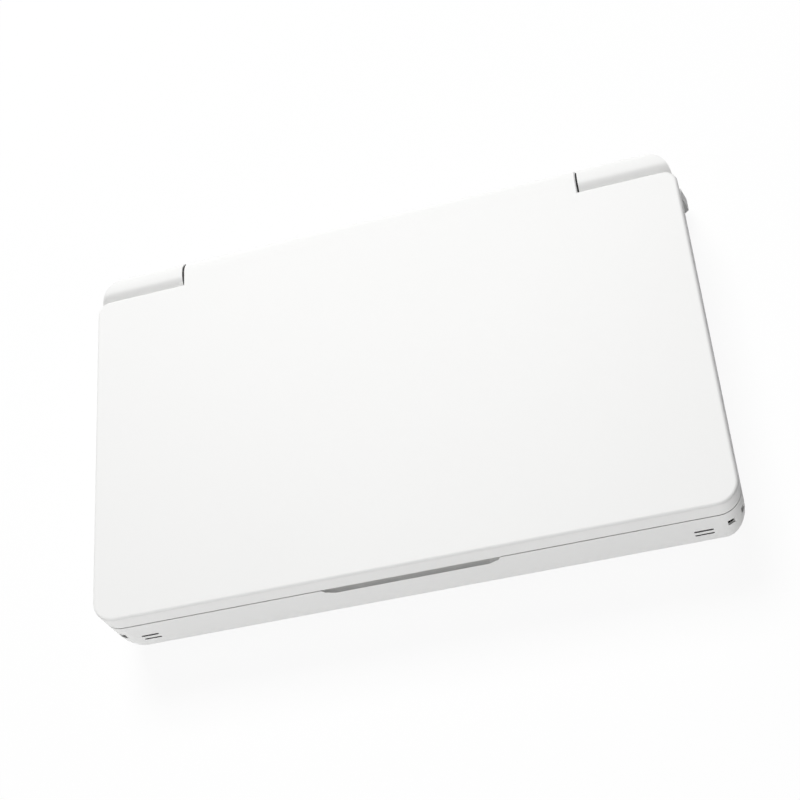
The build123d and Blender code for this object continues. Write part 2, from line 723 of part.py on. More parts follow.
with BuildPart() as shoulder_hollow:
    rod(shoulder_start - 1.0, shoulder_outer - shoulder_end_wall, axis_y, axis_z, barrel_radius - barrel_wall,
        facets=0)
    extrude(shoulder_plan(barrel_wall), amount=2 * barrel_radius, mode=Mode.INTERSECT)
with BuildPart() as shoulder_button_right:
    with BuildSketch(Plane.YZ.offset(shoulder_start)) as shoulder_profile:
        with BuildLine():
            outside = CenterArc((axis_y, axis_z), barrel_radius, shoulder_lower_rear, shoulder_arc)
            Polyline(outside @ 1, (axis_y, axis_z), outside @ 0)
        make_face()
    extrude(shoulder_profile.sketch, amount=shoulder_outer - shoulder_start)
    # Where the rear corner is rounded the shell is closed below too
    with BuildSketch(Plane.YZ.offset(shoulder_outer - shoulder_corner_radius)) as end_profile:
        with Locations((axis_y, axis_z)):
            Circle(barrel_radius)
        with Locations((axis_y, shelf_top + button_travel + 0.1 - barrel_radius)):
            Rectangle(2 * barrel_radius, 2 * barrel_radius, mode=Mode.SUBTRACT)
    extrude(end_profile.sketch, amount=shoulder_corner_radius)
    # The rounded rear corner trims the outer end, outside and inside
    extrude(shoulder_plan(0.0), amount=2 * barrel_radius + 1.0, mode=Mode.INTERSECT)
    add(shoulder_hollow.part, mode=Mode.SUBTRACT)
with BuildPart() as shoulder_button_left:
    mirror(shoulder_button_right.part, about=Plane.YZ)
shoulder_button_right.part.label = "shoulder_button_right"
export_step(shoulder_button_right.part, "parts/shoulder_button_right.step")
shoulder_button_left.part.label = "shoulder_button_left"
export_step(shoulder_button_left.part, "parts/shoulder_button_left.step")

# Triggers: hollow, flared towards the bottom, wrapped round the rear corner, each on its own pin
with BuildPart() as trigger_right:
    with BuildSketch(Plane.XY.offset(trigger_bottom)) as trigger_plan:
        Rectangle(2 * (half_width + trigger_flare), 2 * rear_y)
        outer_corner = trigger_plan.vertices().group_by(Axis.X)[-1].sort_by(Axis.Y)[-1]
        fillet(outer_corner, radius=trigger_corner_radius)
    extrude(trigger_plan.sketch, amount=trigger_top - trigger_bottom)
    top_face = trigger_right.faces().sort_by(Axis.Z)[-1]
    chamfer(top_face.edges(), length=trigger_flare, length2=trigger_top - trigger_edge_height,
            reference=top_face)
    chamfer(trigger_right.edges().group_by(Axis.Z)[0],
            length=trigger_edge_height - trigger_bottom - trigger_edge_band)
    block(trigger_inner, half_width + 2.0, trigger_front, rear_y + 1.0, trigger_bottom, trigger_top,
          mode=Mode.INTERSECT)
    block(trigger_inner + trigger_wall, half_width - trigger_wall, trigger_front - trigger_corner_radius,
          rear_y - trigger_flare - trigger_wall, trigger_bottom + trigger_wall, trigger_top - trigger_wall,
          radius=trigger_corner_radius - trigger_flare - trigger_wall, mode=Mode.SUBTRACT)
    rod(trigger_lugs[0] + trigger_lug_width, trigger_lugs[1] - trigger_lug_width, trigger_pivot_y,
        trigger_pivot_z, trigger_lug_radius + 0.1)
    for lug_x in trigger_lugs:
        block(lug_x - trigger_lug_width / 2 - 0.3, lug_x + trigger_lug_width / 2 + 0.3, trigger_front - 1.0,
              trigger_pivot_y + trigger_lug_radius + 0.8, trigger_top - trigger_wall - 0.1, trigger_top,
              mode=Mode.SUBTRACT)
    rod(trigger_lugs[0], trigger_lugs[1], trigger_pivot_y, trigger_pivot_z, trigger_pin_radius + pivot_gap,
        mode=Mode.SUBTRACT)
with BuildPart() as trigger_left:
    mirror(trigger_right.part, about=Plane.YZ)
trigger_right.part.label = "trigger_right"
export_step(trigger_right.part, "parts/trigger_right.step")
trigger_left.part.label = "trigger_left"
export_step(trigger_left.part, "parts/trigger_left.step")

with BuildPart() as trigger_pins:
    for side in sides.values():
        pin_ends = (side * (trigger_lugs[0] - trigger_lug_width / 2),
                    side * (trigger_lugs[1] + trigger_lug_width / 2))
        rod(min(pin_ends), max(pin_ends), trigger_pivot_y, trigger_pivot_z, trigger_pin_radius)
trigger_pins.part.label = "trigger_pins"
export_step(trigger_pins.part, "parts/trigger_pins.step")

# Bottom cover: plate with screw seats, foot recesses, fan slots, back button holes and board standoffs
with BuildPart() as bottom_cover:
    block(-cover_half_width + cover_gap, cover_half_width - cover_gap, cover_front + cover_gap,
          cover_rear - cover_gap, base_bottom, cover_top, radius=3.0 - cover_gap)
    for side in sides.values():
        for row in screw_rows:
            post(side * screw_x, row, base_bottom, cover_top, screw_radius + 0.1, mode=Mode.SUBTRACT,
                 facets=8)
            post(side * screw_x, row, base_bottom, base_bottom + screw_head_height, screw_head_radius + 0.1,
                 mode=Mode.SUBTRACT, facets=8)
        for row in foot_rows:
            slot(side * foot_x, row, base_bottom, base_bottom + foot_recess, foot_length + 2 * fit_gap,
                 foot_width + 2 * fit_gap, mode=Mode.SUBTRACT)
        slot(side * back_button_x, back_button_y, base_bottom, cover_top, back_button_length + 2 * hole_gap,
             back_button_width + 2 * hole_gap, mode=Mode.SUBTRACT)
    for standoff_x, standoff_y in standoff_places:
        post(standoff_x, standoff_y, cover_top, board_under, 2.0, facets=8)
    with BuildSketch(Plane.XY.offset(base_bottom)) as vent_slots:
        with Locations((fan_x, fan_y)):
            with GridLocations(vent_slot_pitch, vent_slot_length + 2.0, vent_slot_columns, vent_slot_rows):
                Rectangle(vent_slot_width, vent_slot_length)
    extrude(vent_slots.sketch, amount=cover_thickness, mode=Mode.SUBTRACT)
bottom_cover.part.label = "bottom_cover"
export_step(bottom_cover.part, "parts/bottom_cover.step")

with BuildPart() as cover_screws:
    for side in sides.values():
        for row in screw_rows:
            post(side * screw_x, row, base_bottom + 0.1, base_bottom + screw_head_height,
                 screw_head_radius, facets=8)
            post(side * screw_x, row, base_bottom + screw_head_height, base_bottom + screw_length,
                 screw_radius, facets=8)
cover_screws.part.label = "cover_screws"
export_step(cover_screws.part, "parts/cover_screws.step")

with BuildPart() as rubber_feet:
    for side in sides.values():
        for row in foot_rows:
            slot(side * foot_x, row, 0.0, base_bottom + foot_recess, foot_length, foot_width)
    chamfer(rubber_feet.edges().group_by(Axis.Z)[0], length=0.4)
rubber_feet.part.label = "rubber_feet"
export_step(rubber_feet.part, "parts/rubber_feet.step")

# Back buttons: pill-shaped caps through the bottom cover, held by a flange inside
for name, side in sides.items():
    with BuildPart() as back_button:
        slot(side * back_button_x, back_button_y, base_bottom - back_button_rise, cover_top + 0.1,
             back_button_length, back_button_width)
        chamfer(back_button.edges().group_by(Axis.Z)[0], length=0.4)
        slot(side * back_button_x, back_button_y, cover_top + 0.1, cover_top + 0.1 + button_flange_thickness,
             back_button_length + 2 * button_flange, back_button_width + 2 * button_flange)
    back_button.part.label = f"back_button_{name}"
    export_step(back_button.part, f"parts/back_button_{name}.step")

# Grille of upright bars in the fan's outlet
with BuildPart() as rear_grille:
    grille_bottom = vent_bottom + fit_gap
    grille_left = vent_centre - vent_width / 2 + fit_gap
    grille_right = vent_centre + vent_width / 2 - fit_gap
    block(grille_left, grille_right, rear_y - wall, rear_y - fit_gap, grille_bottom,
          grille_bottom + vent_height - 2 * fit_gap)
    with BuildSketch(Plane.XZ.offset(-rear_y)) as grille_holes:
        with Locations((vent_centre, vent_bottom + vent_height / 2)):
            with GridLocations(vent_pitch, 1.0, vent_bars, 1):
                Rectangle(vent_pitch - vent_bar_width, vent_height - 1.8)
    extrude(grille_holes.sketch, amount=wall, mode=Mode.SUBTRACT)
rear_grille.part.label = "rear_grille"
export_step(rear_grille.part, "parts/rear_grille.step")

# Keyboard: a web with a hole for each key, a plate under it, and one node for each row of keys
keys = []
for row_number, (row_name, units) in enumerate(key_rows.items()):
    key_y = key_area_front + key_area_depth - (row_number + 0.5) * key_pitch_y
    left_edge = -key_area_width / 2
    for unit in units:
        keys.append((row_name, left_edge + unit * key_pitch_x / 2, key_y, unit * key_pitch_x - key_gap))
        left_edge += unit * key_pitch_x
key_depth = key_pitch_y - key_gap

with BuildPart() as keyboard_frame:
    block(-keyboard_frame_width / 2, keyboard_frame_width / 2, key_area_y - keyboard_frame_depth / 2,
          key_area_y + keyboard_frame_depth / 2, deck_under, deck_floor)
    with BuildSketch(Plane.XY.offset(deck_under)) as key_holes:
        for row_name, key_x, key_y, key_width in keys:
            with Locations((key_x, key_y)):
                Rectangle(key_width + 2 * key_hole_gap, key_depth + 2 * key_hole_gap)
    extrude(key_holes.sketch, amount=deck_thickness, mode=Mode.SUBTRACT)
keyboard_frame.part.label = "keyboard_frame"
export_step(keyboard_frame.part, "parts/keyboard_frame.step")

with BuildPart() as keyboard_plate:
    block(-keyboard_frame_width / 2, keyboard_frame_width / 2,
          key_area_y - keyboard_frame_depth / 2 - rib_width + rib_overlap,
          key_area_y + keyboard_frame_depth / 2 + rib_width - rib_overlap,
          rib_under - keyboard_plate_thickness, rib_under)
keyboard_plate.part.label = "keyboard_plate"
export_step(keyboard_plate.part, "parts/keyboard_plate.step")

key_top = deck_floor + key_rise
for wanted_row in key_rows:
    with BuildPart() as key_row:
        for row_name, key_x, key_y, key_width in keys:
            if row_name == wanted_row:
                block(key_x - key_width / 2, key_x + key_width / 2, key_y - key_depth / 2,
                      key_y + key_depth / 2, key_top - key_height, key_top)
        chamfer(key_row.edges().group_by(Axis.Z)[-1], length=0.35)
    key_row.part.label = wanted_row
    export_step(key_row.part, f"parts/{wanted_row}.step")

# Sticks: module, ring that tilts about X, ball that tilts in it about Y, and the cap on its stem
for name, side in sides.items():
    centre_x = side * stick_x
    ring_half = stick_ring_half_height
    with BuildPart() as stick_module:
        half_side = stick_module_side / 2
        hollow = half_side - 1.6
        block(centre_x - half_side, centre_x + half_side, stick_y - half_side, stick_y + half_side,
              stick_cup_under - stick_module_height, stick_cup_under)
        block(centre_x - hollow, centre_x + hollow, stick_y - hollow, stick_y + hollow,
              stick_cup_under - stick_module_height + 1.0, stick_cup_under, mode=Mode.SUBTRACT)
        rod(centre_x - half_side - 1.0, centre_x + half_side + 1.0, stick_y, stick_pivot_z,
            stick_pin_radius + pivot_gap, mode=Mode.SUBTRACT)
    stick_module.part.label = f"stick_module_{name}"
    export_step(stick_module.part, f"parts/stick_module_{name}.step")

    with BuildPart() as stick_ring:
        post(centre_x, stick_y, stick_pivot_z - ring_half, stick_pivot_z + ring_half, stick_ring_outer)
        rod(centre_x - half_side + 0.2, centre_x + half_side - 0.2, stick_y, stick_pivot_z, stick_pin_radius)
        post(centre_x, stick_y, stick_pivot_z - ring_half, stick_pivot_z + ring_half, stick_ring_inner,
             mode=Mode.SUBTRACT)
        with BuildSketch(Plane.XZ.offset(-stick_y + stick_ring_outer + 1.0)) as ring_pin_hole:
            with Locations((centre_x, stick_pivot_z)):
                RegularPolygon(ball_pin_radius + pivot_gap, 10, major_radius=False)
        extrude(ring_pin_hole.sketch, amount=-2 * stick_ring_outer - 2.0, mode=Mode.SUBTRACT)
    stick_ring.part.label = f"stick_ring_{name}"
    export_step(stick_ring.part, f"parts/stick_ring_{name}.step")

    with BuildPart() as stick_ball:
        post(centre_x, stick_y, stick_pivot_z - ball_radius, stick_pivot_z + ball_radius, ball_radius)
        chamfer(stick_ball.edges().group_by(Axis.Z)[-1] + stick_ball.edges().group_by(Axis.Z)[0],
                length=ball_chamfer)
        with BuildSketch(Plane.XZ.offset(-stick_y + stick_ring_outer - 0.1)) as ball_pin:
            with Locations((centre_x, stick_pivot_z)):
                RegularPolygon(ball_pin_radius, 10)
        extrude(ball_pin.sketch, amount=-2 * stick_ring_outer + 0.2)
        post(centre_x, stick_y, stick_pivot_z - ball_radius, stick_pivot_z + ball_radius,
             stick_stem_radius + pivot_gap, mode=Mode.SUBTRACT)
    stick_ball.part.label = f"stick_ball_{name}"
    export_step(stick_ball.part, f"parts/stick_ball_{name}.step")

    with BuildPart() as stick_cap:
        cap_bottom = stick_cap_top - stick_cap_thickness
        post(centre_x, stick_y, cap_bottom, stick_cap_top, stick_cap_radius, facets=18)
        chamfer(stick_cap.edges().group_by(Axis.Z)[-1] + stick_cap.edges().group_by(Axis.Z)[0], length=0.5)
        add(dish(centre_x, stick_y, stick_cap_top, stick_cap_radius - 1.4, 0.8, 18), mode=Mode.SUBTRACT)
        post(centre_x, stick_y, stick_pivot_z - 3.2, cap_bottom, stick_stem_radius)
    stick_cap.part.label = f"stick_cap_{name}"
    export_step(stick_cap.part, f"parts/stick_cap_{name}.step")

# Cross pad on its rocking seat
with BuildPart() as cross_pad_seat:
    post(-pad_x, pad_y, button_board_top + 0.2, button_board_top + 0.8, 2.0)
    chamfer(cross_pad_seat.edges().group_by(Axis.Z)[-1], length=0.5)
cross_pad_seat.part.label = "cross_pad_seat"
export_step(cross_pad_seat.part, "parts/cross_pad_seat.step")

pad_flange_bottom = button_board_top + 1.0
with BuildPart() as cross_pad:
    post(-pad_x, pad_y, pad_flange_bottom, pad_flange_bottom + 0.7, dpad_flange_radius, facets=16)
    with BuildSketch(Plane.XY.offset(pad_flange_bottom + 0.7)) as cross_plan:
        with Locations((-pad_x, pad_y)):
            Rectangle(dpad_span, dpad_arm)
            Rectangle(dpad_arm, dpad_span)
        chamfer(cross_plan.vertices().filter_by(lambda vertex: abs(vertex.X + pad_x) > dpad_arm / 2 + 0.1
                                                or abs(vertex.Y - pad_y) > dpad_arm / 2 + 0.1), length=0.7)
    extrude(cross_plan.sketch, amount=deck_floor + 0.6 - pad_flange_bottom - 0.7)
    chamfer(cross_pad.edges().group_by(Axis.Z)[-1], length=0.35)
    add(dish(-pad_x, pad_y, deck_floor + 0.6, 2.0, 0.3, 12), mode=Mode.SUBTRACT)
cross_pad.part.label = "cross_pad"
export_step(cross_pad.part, "parts/cross_pad.step")


def round_button(x, y, radius, rise):
    """A round button with a flange under the deck, a stem to its switch and a softened top edge."""
    top = deck_floor + rise
    flange_top = deck_under - hole_gap
    with BuildPart() as button:
        post(x, y, flange_top, top, radius)
        chamfer(button.edges().group_by(Axis.Z)[-1], length=0.35)
        post(x, y, flange_top - button_flange_thickness, flange_top, radius + button_flange)
        post(x, y, button_board_top + button_travel + 0.1, flange_top - button_flange_thickness, 1.2,
             facets=8)
    return button.part


round_buttons = dict(zip(
    ["face_button_right", "face_button_lower", "face_button_left", "face_button_upper"],
    [(x, y, face_button_radius, button_rise) for x, y in face_button_places],
))
round_buttons.update(zip(
    ["select_button", "start_button", "power_button"],
    [(x, y, small_button_radius, small_button_rise) for x, y in small_button_places],
))
for name, (button_x, button_y, radius, rise) in round_buttons.items():
    finished_button = round_button(button_x, button_y, radius, rise)
    finished_button.label = name
    export_step(finished_button, f"parts/{name}.step")

with BuildPart() as touchpad:
    pad_top = deck_floor - 0.15
    block(-touchpad_width / 2, touchpad_width / 2, touchpad_y - touchpad_depth / 2,
          touchpad_y + touchpad_depth / 2, pad_top - touchpad_thickness, pad_top, radius=1.0)
    block(-touchpad_width / 2 - 1.2, touchpad_width / 2 + 1.2, touchpad_y - touchpad_depth / 2 - 1.2,
          touchpad_y + touchpad_depth / 2 + 1.2, pad_top - touchpad_thickness - 0.8,
          pad_top - touchpad_thickness)
touchpad.part.label = "touchpad"
export_step(touchpad.part, "parts/touchpad.step")

with BuildPart() as button_boards:
    for side in sides.values():
        board_ends = (side * 25.0, side * 57.2)
        block(min(board_ends), max(board_ends), 6.8, 37.2, button_board_top - board_thickness,
              button_board_top)
button_boards.part.label = "button_boards"
export_step(button_boards.part, "parts/button_boards.step")

# Mainboard: bays cut for the fan and the fins, main chip, memory, and the drive's connector
with BuildPart() as mainboard:
    block(-board_half_width, board_half_width, board_front, board_rear, board_under, board_top)
    block(fan_x - fan_side / 2 - 0.5, fan_x + fan_side / 2 + 0.5, fan_y - fan_side / 2 - 0.5, board_rear,
          board_under, board_top, mode=Mode.SUBTRACT)
    block(chip_x - 8.0, chip_x + 8.0, chip_y - 8.0, chip_y + 8.0, board_top, board_top + 0.6)
    block(chip_x - 5.0, chip_x + 5.0, chip_y - 5.5, chip_y + 5.5, board_top + 0.6, chip_top)
    for memory_y in (chip_y - 13.0, chip_y + 13.0):
        block(chip_x - 6.0, chip_x + 6.0, memory_y - 3.5, memory_y + 3.5, board_top, board_top + 0.9)
    block(drive_x - drive_width / 2 - 0.5, drive_x + drive_width / 2 + 0.5, drive_front - 4.0,
          drive_front + 1.0, board_top, board_top + 2.4)
    block(drive_x - drive_width / 2 + 0.4, drive_x + drive_width / 2 - 0.4, drive_front - 2.0,
          drive_front + 1.0, drive_bottom - 0.02, drive_bottom + 0.82, mode=Mode.SUBTRACT)
    post(drive_x, drive_front + drive_length, board_top, drive_bottom, 2.0, facets=8)
mainboard.part.label = "mainboard"
export_step(mainboard.part, "parts/mainboard.step")

with BuildPart() as solid_state_drive:
    block(drive_x - drive_width / 2 + 0.5, drive_x + drive_width / 2 - 0.5, drive_front - 1.9,
          drive_front + drive_length, drive_bottom, drive_bottom + 0.8)
    block(drive_x - 9.0, drive_x + 9.0, drive_front + 4.0, drive_front + 15.0, drive_bottom + 0.8,
          drive_bottom + 2.0)
    block(drive_x - 6.0, drive_x + 6.0, drive_front + 17.0, drive_front + 26.0, drive_bottom + 0.8,
          drive_bottom + 1.7)
solid_state_drive.part.label = "solid_state_drive"
export_step(solid_state_drive.part, "parts/solid_state_drive.step")

with BuildPart() as battery:
    block(-battery_width / 2, battery_width / 2, battery_y - battery_depth / 2, battery_y + battery_depth / 2,
          battery_bottom, battery_bottom + battery_height)
    for cell_joint in (-battery_width / 6, battery_width / 6):
        block(cell_joint - 0.4, cell_joint + 0.4, battery_y - battery_depth / 2,
              battery_y + battery_depth / 2, battery_bottom + battery_height - 0.8,
              battery_bottom + battery_height, mode=Mode.SUBTRACT)
    chamfer(battery.edges().group_by(Axis.Z)[0], length=0.5)
battery.part.label = "battery"
export_step(battery.part, "parts/battery.step")

# Cooling: fan housing open below and to the rear, rotor on its pin, fins at the outlet, heat pipe
fan_bottom = cover_top + 0.3
fan_top = fan_bottom + fan_height
with BuildPart() as fan_housing:
    block(fan_x - fan_side / 2, fan_x + fan_side / 2, fan_y - fan_side / 2, fan_y + fan_side / 2, fan_bottom,
          fan_top)
    post(fan_x, fan_y, fan_bottom + fan_wall, fan_top - fan_wall, fan_rotor_radius + 1.3, mode=Mode.SUBTRACT,
         facets=24)
    block(fan_x - fan_rotor_radius - 1.3, fan_x + fan_rotor_radius + 1.3, fan_y, fan_y + fan_side,
          fan_bottom + fan_wall, fan_top - fan_wall, mode=Mode.SUBTRACT)
    post(fan_x, fan_y, fan_bottom, fan_bottom + fan_wall, fan_inlet_radius, mode=Mode.SUBTRACT, facets=24)
    post(fan_x, fan_y, fan_bottom + 1.2, fan_top - fan_wall, fan_pin_radius)
fan_housing.part.label = "fan_housing"
export_step(fan_housing.part, "parts/fan_housing.step")

with BuildPart() as fan_rotor:
    rotor_bottom = fan_bottom + 0.9
    rotor_top = fan_top - fan_wall - 0.3
    post(fan_x, fan_y, rotor_bottom, rotor_top, fan_hub_radius, facets=fan_blades)
    with BuildSketch() as blade:
        with BuildLine():
            Polyline((fan_hub_radius - 0.6, -0.3), (fan_hub_radius + 4.5, 0.6), (fan_rotor_radius - 0.8, 4.0),
                     (fan_rotor_radius - 1.2, 4.4), (fan_hub_radius + 4.2, 1.2), (fan_hub_radius - 0.6, 0.4),
                     close=True)
        make_face()
    with BuildSketch(Plane.XY.offset(rotor_bottom + 0.4)) as blades:
        with Locations((fan_x, fan_y)):
            with PolarLocations(0.0, fan_blades):
                add(blade.sketch)
    extrude(blades.sketch, amount=rotor_top - rotor_bottom - 0.8)
    post(fan_x, fan_y, rotor_bottom, rotor_top, fan_pin_radius + 0.05, mode=Mode.SUBTRACT)
fan_rotor.part.label = "fan_rotor"
export_step(fan_rotor.part, "parts/fan_rotor.step")

with BuildPart() as fin_stack:
    for plate_z in (fins_bottom, fins_top - 0.5):
        block(fan_x - fins_width / 2, fan_x + fins_width / 2, fins_front, board_rear, plate_z, plate_z + 0.5)
    for fin in range(fin_count):
        fin_x = fan_x - fins_width / 2 + fin * (fins_width - 0.5) / (fin_count - 1)
        block(fin_x, fin_x + 0.5, fins_front, board_rear, fins_bottom, fins_top)
fin_stack.part.label = "fin_stack"
export_step(fin_stack.part, "parts/fin_stack.step")

with BuildPart() as heat_pipe:
    block(chip_x - 10.0, chip_x + 10.0, chip_y - 9.0, chip_y + 9.0, chip_top, fins_top)
    with BuildLine() as pipe_path:
        pipe_line = FilletPolyline((chip_x, chip_y - 6.0), (chip_x, pipe_y),
                                   (fan_x + fins_width / 2 - 1.0, pipe_y), radius=8.0)
    with BuildSketch(Plane(origin=pipe_line @ 0, x_dir=(1, 0, 0), z_dir=(0, 1, 0))) as pipe_section:
        with Locations((0.0, -fins_top - pipe_height / 2)):
            Rectangle(pipe_width, pipe_height)
    sweep(pipe_section.sketch, path=pipe_path.line)
heat_pipe.part.label = "heat_pipe"
export_step(heat_pipe.part, "parts/heat_pipe.step")

# Speakers: a box with a nozzle behind the slots
for name, side in sides.items():
    with BuildPart() as speaker:
        box_ends = (side * (speaker_slot_x - 14.0), side * (speaker_slot_x + 3.8))
        nozzle_ends = (side * (speaker_slot_x - 3.4), side * (speaker_slot_x + 3.4))
        hollow_ends = (side * (speaker_slot_x - 2.7), side * (speaker_slot_x + 2.7))
        block(min(box_ends), max(box_ends), speaker_front, speaker_front + 10.5, speaker_bottom,
              speaker_bottom + 4.6)
        block(min(nozzle_ends), max(nozzle_ends), front_y + wall + 0.8, speaker_front + 5.0,
              speaker_slot_heights[1] - 1.0, speaker_slot_heights[0] + 1.2)
        block(min(hollow_ends), max(hollow_ends), front_y + wall, speaker_front + 4.0,
              speaker_slot_heights[1] - 0.5, speaker_slot_heights[0] + 0.7, mode=Mode.SUBTRACT)
    speaker.part.label = f"speaker_{name}"
    export_step(speaker.part, f"parts/speaker_{name}.step")


with BuildPart() as usb_c_ports:
    for port_x in usb_c_places:
        port_z = board_top + usb_c_height / 2
        extrude(pill(Plane.XZ.offset(-rear_y), port_x, port_z, usb_c_width, usb_c_height), amount=usb_c_depth)
        port_hollow = pill(Plane.XZ.offset(-rear_y), port_x, port_z, usb_c_width - 2 * socket_skin,
                           usb_c_height - 2 * socket_skin)
        extrude(port_hollow, amount=usb_c_depth - 0.9, mode=Mode.SUBTRACT)
        block(port_x - 3.3, port_x + 3.3, rear_y - usb_c_depth + 0.5, rear_y - 0.6, port_z - 0.35,
              port_z + 0.35)
usb_c_ports.part.label = "usb_c_ports"
export_step(usb_c_ports.part, "parts/usb_c_ports.step")

with BuildPart() as usb_a_port:
    block(usb_a_x - usb_a_width / 2, usb_a_x + usb_a_width / 2, rear_y - usb_a_depth, rear_y, board_top,
          board_top + usb_a_height)
    block(usb_a_x - usb_a_width / 2 + socket_skin, usb_a_x + usb_a_width / 2 - socket_skin,
          rear_y - usb_a_depth + 1.5, rear_y, board_top + socket_skin, board_top + usb_a_height - socket_skin,
          mode=Mode.SUBTRACT)
    block(usb_a_x - 5.5, usb_a_x + 5.5, rear_y - usb_a_depth + 1.0, rear_y - 2.2, board_top + 3.3,
          board_top + 5.1)
usb_a_port.part.label = "usb_a_port"
export_step(usb_a_port.part, "parts/usb_a_port.step")

with BuildPart() as audio_jack:
    block(jack_x - 3.2, jack_x + 3.2, rear_y - jack_depth - 0.8, rear_y - wall - 0.15, board_top,
          board_top + 2 * jack_nose_radius)
    for length, radius, mode in (
        (wall + 1.0, jack_nose_radius, Mode.ADD),
        (jack_depth, jack_radius, Mode.SUBTRACT),
    ):
        with BuildSketch(Plane.XZ.offset(-rear_y)) as jack_face:
            with Locations((jack_x, board_top + jack_nose_radius)):
                Circle(radius)
        extrude(jack_face.sketch, amount=length, mode=mode)
audio_jack.part.label = "audio_jack"
export_step(audio_jack.part, "parts/audio_jack.step")
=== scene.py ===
"""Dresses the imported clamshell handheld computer: finishes, keys, controls, sockets and light.

Sizes in the dataclasses are millimetres where their name ends in _mm, and mm() turns them to
metres. The studio's own places and sizes are metres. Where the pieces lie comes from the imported
frame.
"""

import logging
import math
from collections.abc import Callable, Iterable, Sequence
from dataclasses import dataclass
from enum import Enum

import bmesh
import bpy
from mathutils import Matrix, Vector

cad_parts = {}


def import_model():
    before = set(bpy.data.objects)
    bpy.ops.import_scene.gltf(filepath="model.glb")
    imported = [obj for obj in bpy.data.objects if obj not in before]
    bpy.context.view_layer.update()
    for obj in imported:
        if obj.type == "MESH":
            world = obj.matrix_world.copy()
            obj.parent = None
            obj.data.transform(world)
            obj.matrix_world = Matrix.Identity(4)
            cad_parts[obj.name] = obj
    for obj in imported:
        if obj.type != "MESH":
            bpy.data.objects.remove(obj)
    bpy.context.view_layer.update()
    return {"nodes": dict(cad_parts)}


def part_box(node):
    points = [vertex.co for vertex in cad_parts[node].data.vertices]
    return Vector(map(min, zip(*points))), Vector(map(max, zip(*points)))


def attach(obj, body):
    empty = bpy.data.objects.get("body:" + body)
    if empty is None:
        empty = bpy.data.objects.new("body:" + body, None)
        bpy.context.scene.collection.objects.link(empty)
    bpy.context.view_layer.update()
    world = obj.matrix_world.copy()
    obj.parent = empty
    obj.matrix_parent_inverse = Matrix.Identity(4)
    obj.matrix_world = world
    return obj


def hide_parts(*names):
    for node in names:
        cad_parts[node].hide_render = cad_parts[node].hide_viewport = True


log = logging.getLogger("handheld")

Nodes = dict[str, bpy.types.Object]
Tree = bpy.types.NodeTree
Node = bpy.types.Node
Output = bpy.types.NodeSocket
Point = tuple[float, float]
Place = tuple[float, float, float]
Profile = tuple[Point, ...]
Ring = tuple[Sequence[Point], float]
# Gives an outline that is moved in by a distance in metres
Outline = Callable[[float], list[Point]]

SIDES = {"left": -1, "right": 1}
KEY_ROWS = (
    "number_keys", "upper_letter_keys", "home_letter_keys", "lower_letter_keys", "space_bar_keys",
)
ROUND_BUTTONS = (
    "face_button_right", "face_button_lower", "face_button_left", "face_button_upper",
    "select_button", "start_button", "power_button",
)
WHITE = "#FFFFFF"
# Most of a noise pattern's values lie between these two
NOISE_LOW, NOISE_HIGH = 0.3, 0.7
# How many finer layers a noise has, and how strong they are
GRAIN_NOISE = {"Detail": 2.0, "Roughness": 0.6}
LINE_NOISE = {"Detail": 3.0, "Roughness": 0.65}
DRIFT_NOISE = {"Detail": 1.0}
# Edges steeper than this stay sharp in the shading
SHARP_DEGREES = 34.0
# Just under a half, so that no two points of a round end meet
END_ROUND = 0.499
END_STEPS = 12


def mm(value: float) -> float:
    """Turns millimetres to Blender's metres."""
    return value / 1000.0


def pair(name: str) -> tuple[str, str]:
    """Names the left and the right piece of a kind."""
    return f"{name}_left", f"{name}_right"


def linear_colour(hex_code: str) -> tuple[float, float, float, float]:
    """Turns an sRGB hex colour to the linear colour a shader takes.

    Args:
        hex_code: a colour such as "#F4F4F2".

    Returns:
        Red, green, blue and an alpha of 1.
    """
    channels = [int(hex_code[start : start + 2], 16) / 255 for start in (1, 3, 5)]
    linear = [c / 12.92 if c <= 0.04045 else ((c + 0.055) / 1.055) ** 2.4 for c in channels]
    return (linear[0], linear[1], linear[2], 1.0)


def add_object(name: str, data: bpy.types.ID) -> bpy.types.Object:
    """Puts a mesh, lamp or camera in the scene.

    Args:
        name: the object's name.
        data: the mesh, lamp or camera.

    Returns:
        The new object.
    """
    made = bpy.data.objects.new(name, data)
    bpy.context.scene.collection.objects.link(made)
    return made


def empty_tree(owner: bpy.types.Material | bpy.types.World) -> Tree:
    """Turns nodes on and clears them.

    Args:
        owner: the material or world that has them.

    Returns:
        Its node tree.
    """
    owner.use_nodes = True
    owner.node_tree.nodes.clear()
    return owner.node_tree


def add_node(
    tree: Tree,
    kind: str,
    settings: dict | None = None,
    links: dict | None = None,
    **properties: object,
) -> Node:
    """Adds one shader node with its settings and links.

    Args:
        tree: the node tree that takes it.
        kind: Blender's name of the node's type.
        settings: constants by the name of the input socket.
        links: output sockets by the name of the input socket they feed.
        properties: the node's own options, such as operation.

    Returns:
        The new node.
    """
    node = tree.nodes.new(kind)
    for name, value in properties.items():
        setattr(node, name, value)
    for socket, value in (settings or {}).items():
        node.inputs[socket].default_value = value
    for socket, source in (links or {}).items():
        tree.links.new(source, node.inputs[socket])
    return node


class Slot(Enum):
    """Material slot names that are passed along with the pieces made here."""

    DARK_PLASTIC = "dark_plastic"
    KEY_PLASTIC = "key_plastic"
    BUTTON_PLASTIC = "button_plastic"
    RUBBER = "rubber"
    STEEL = "steel"
    COPPER = "copper"


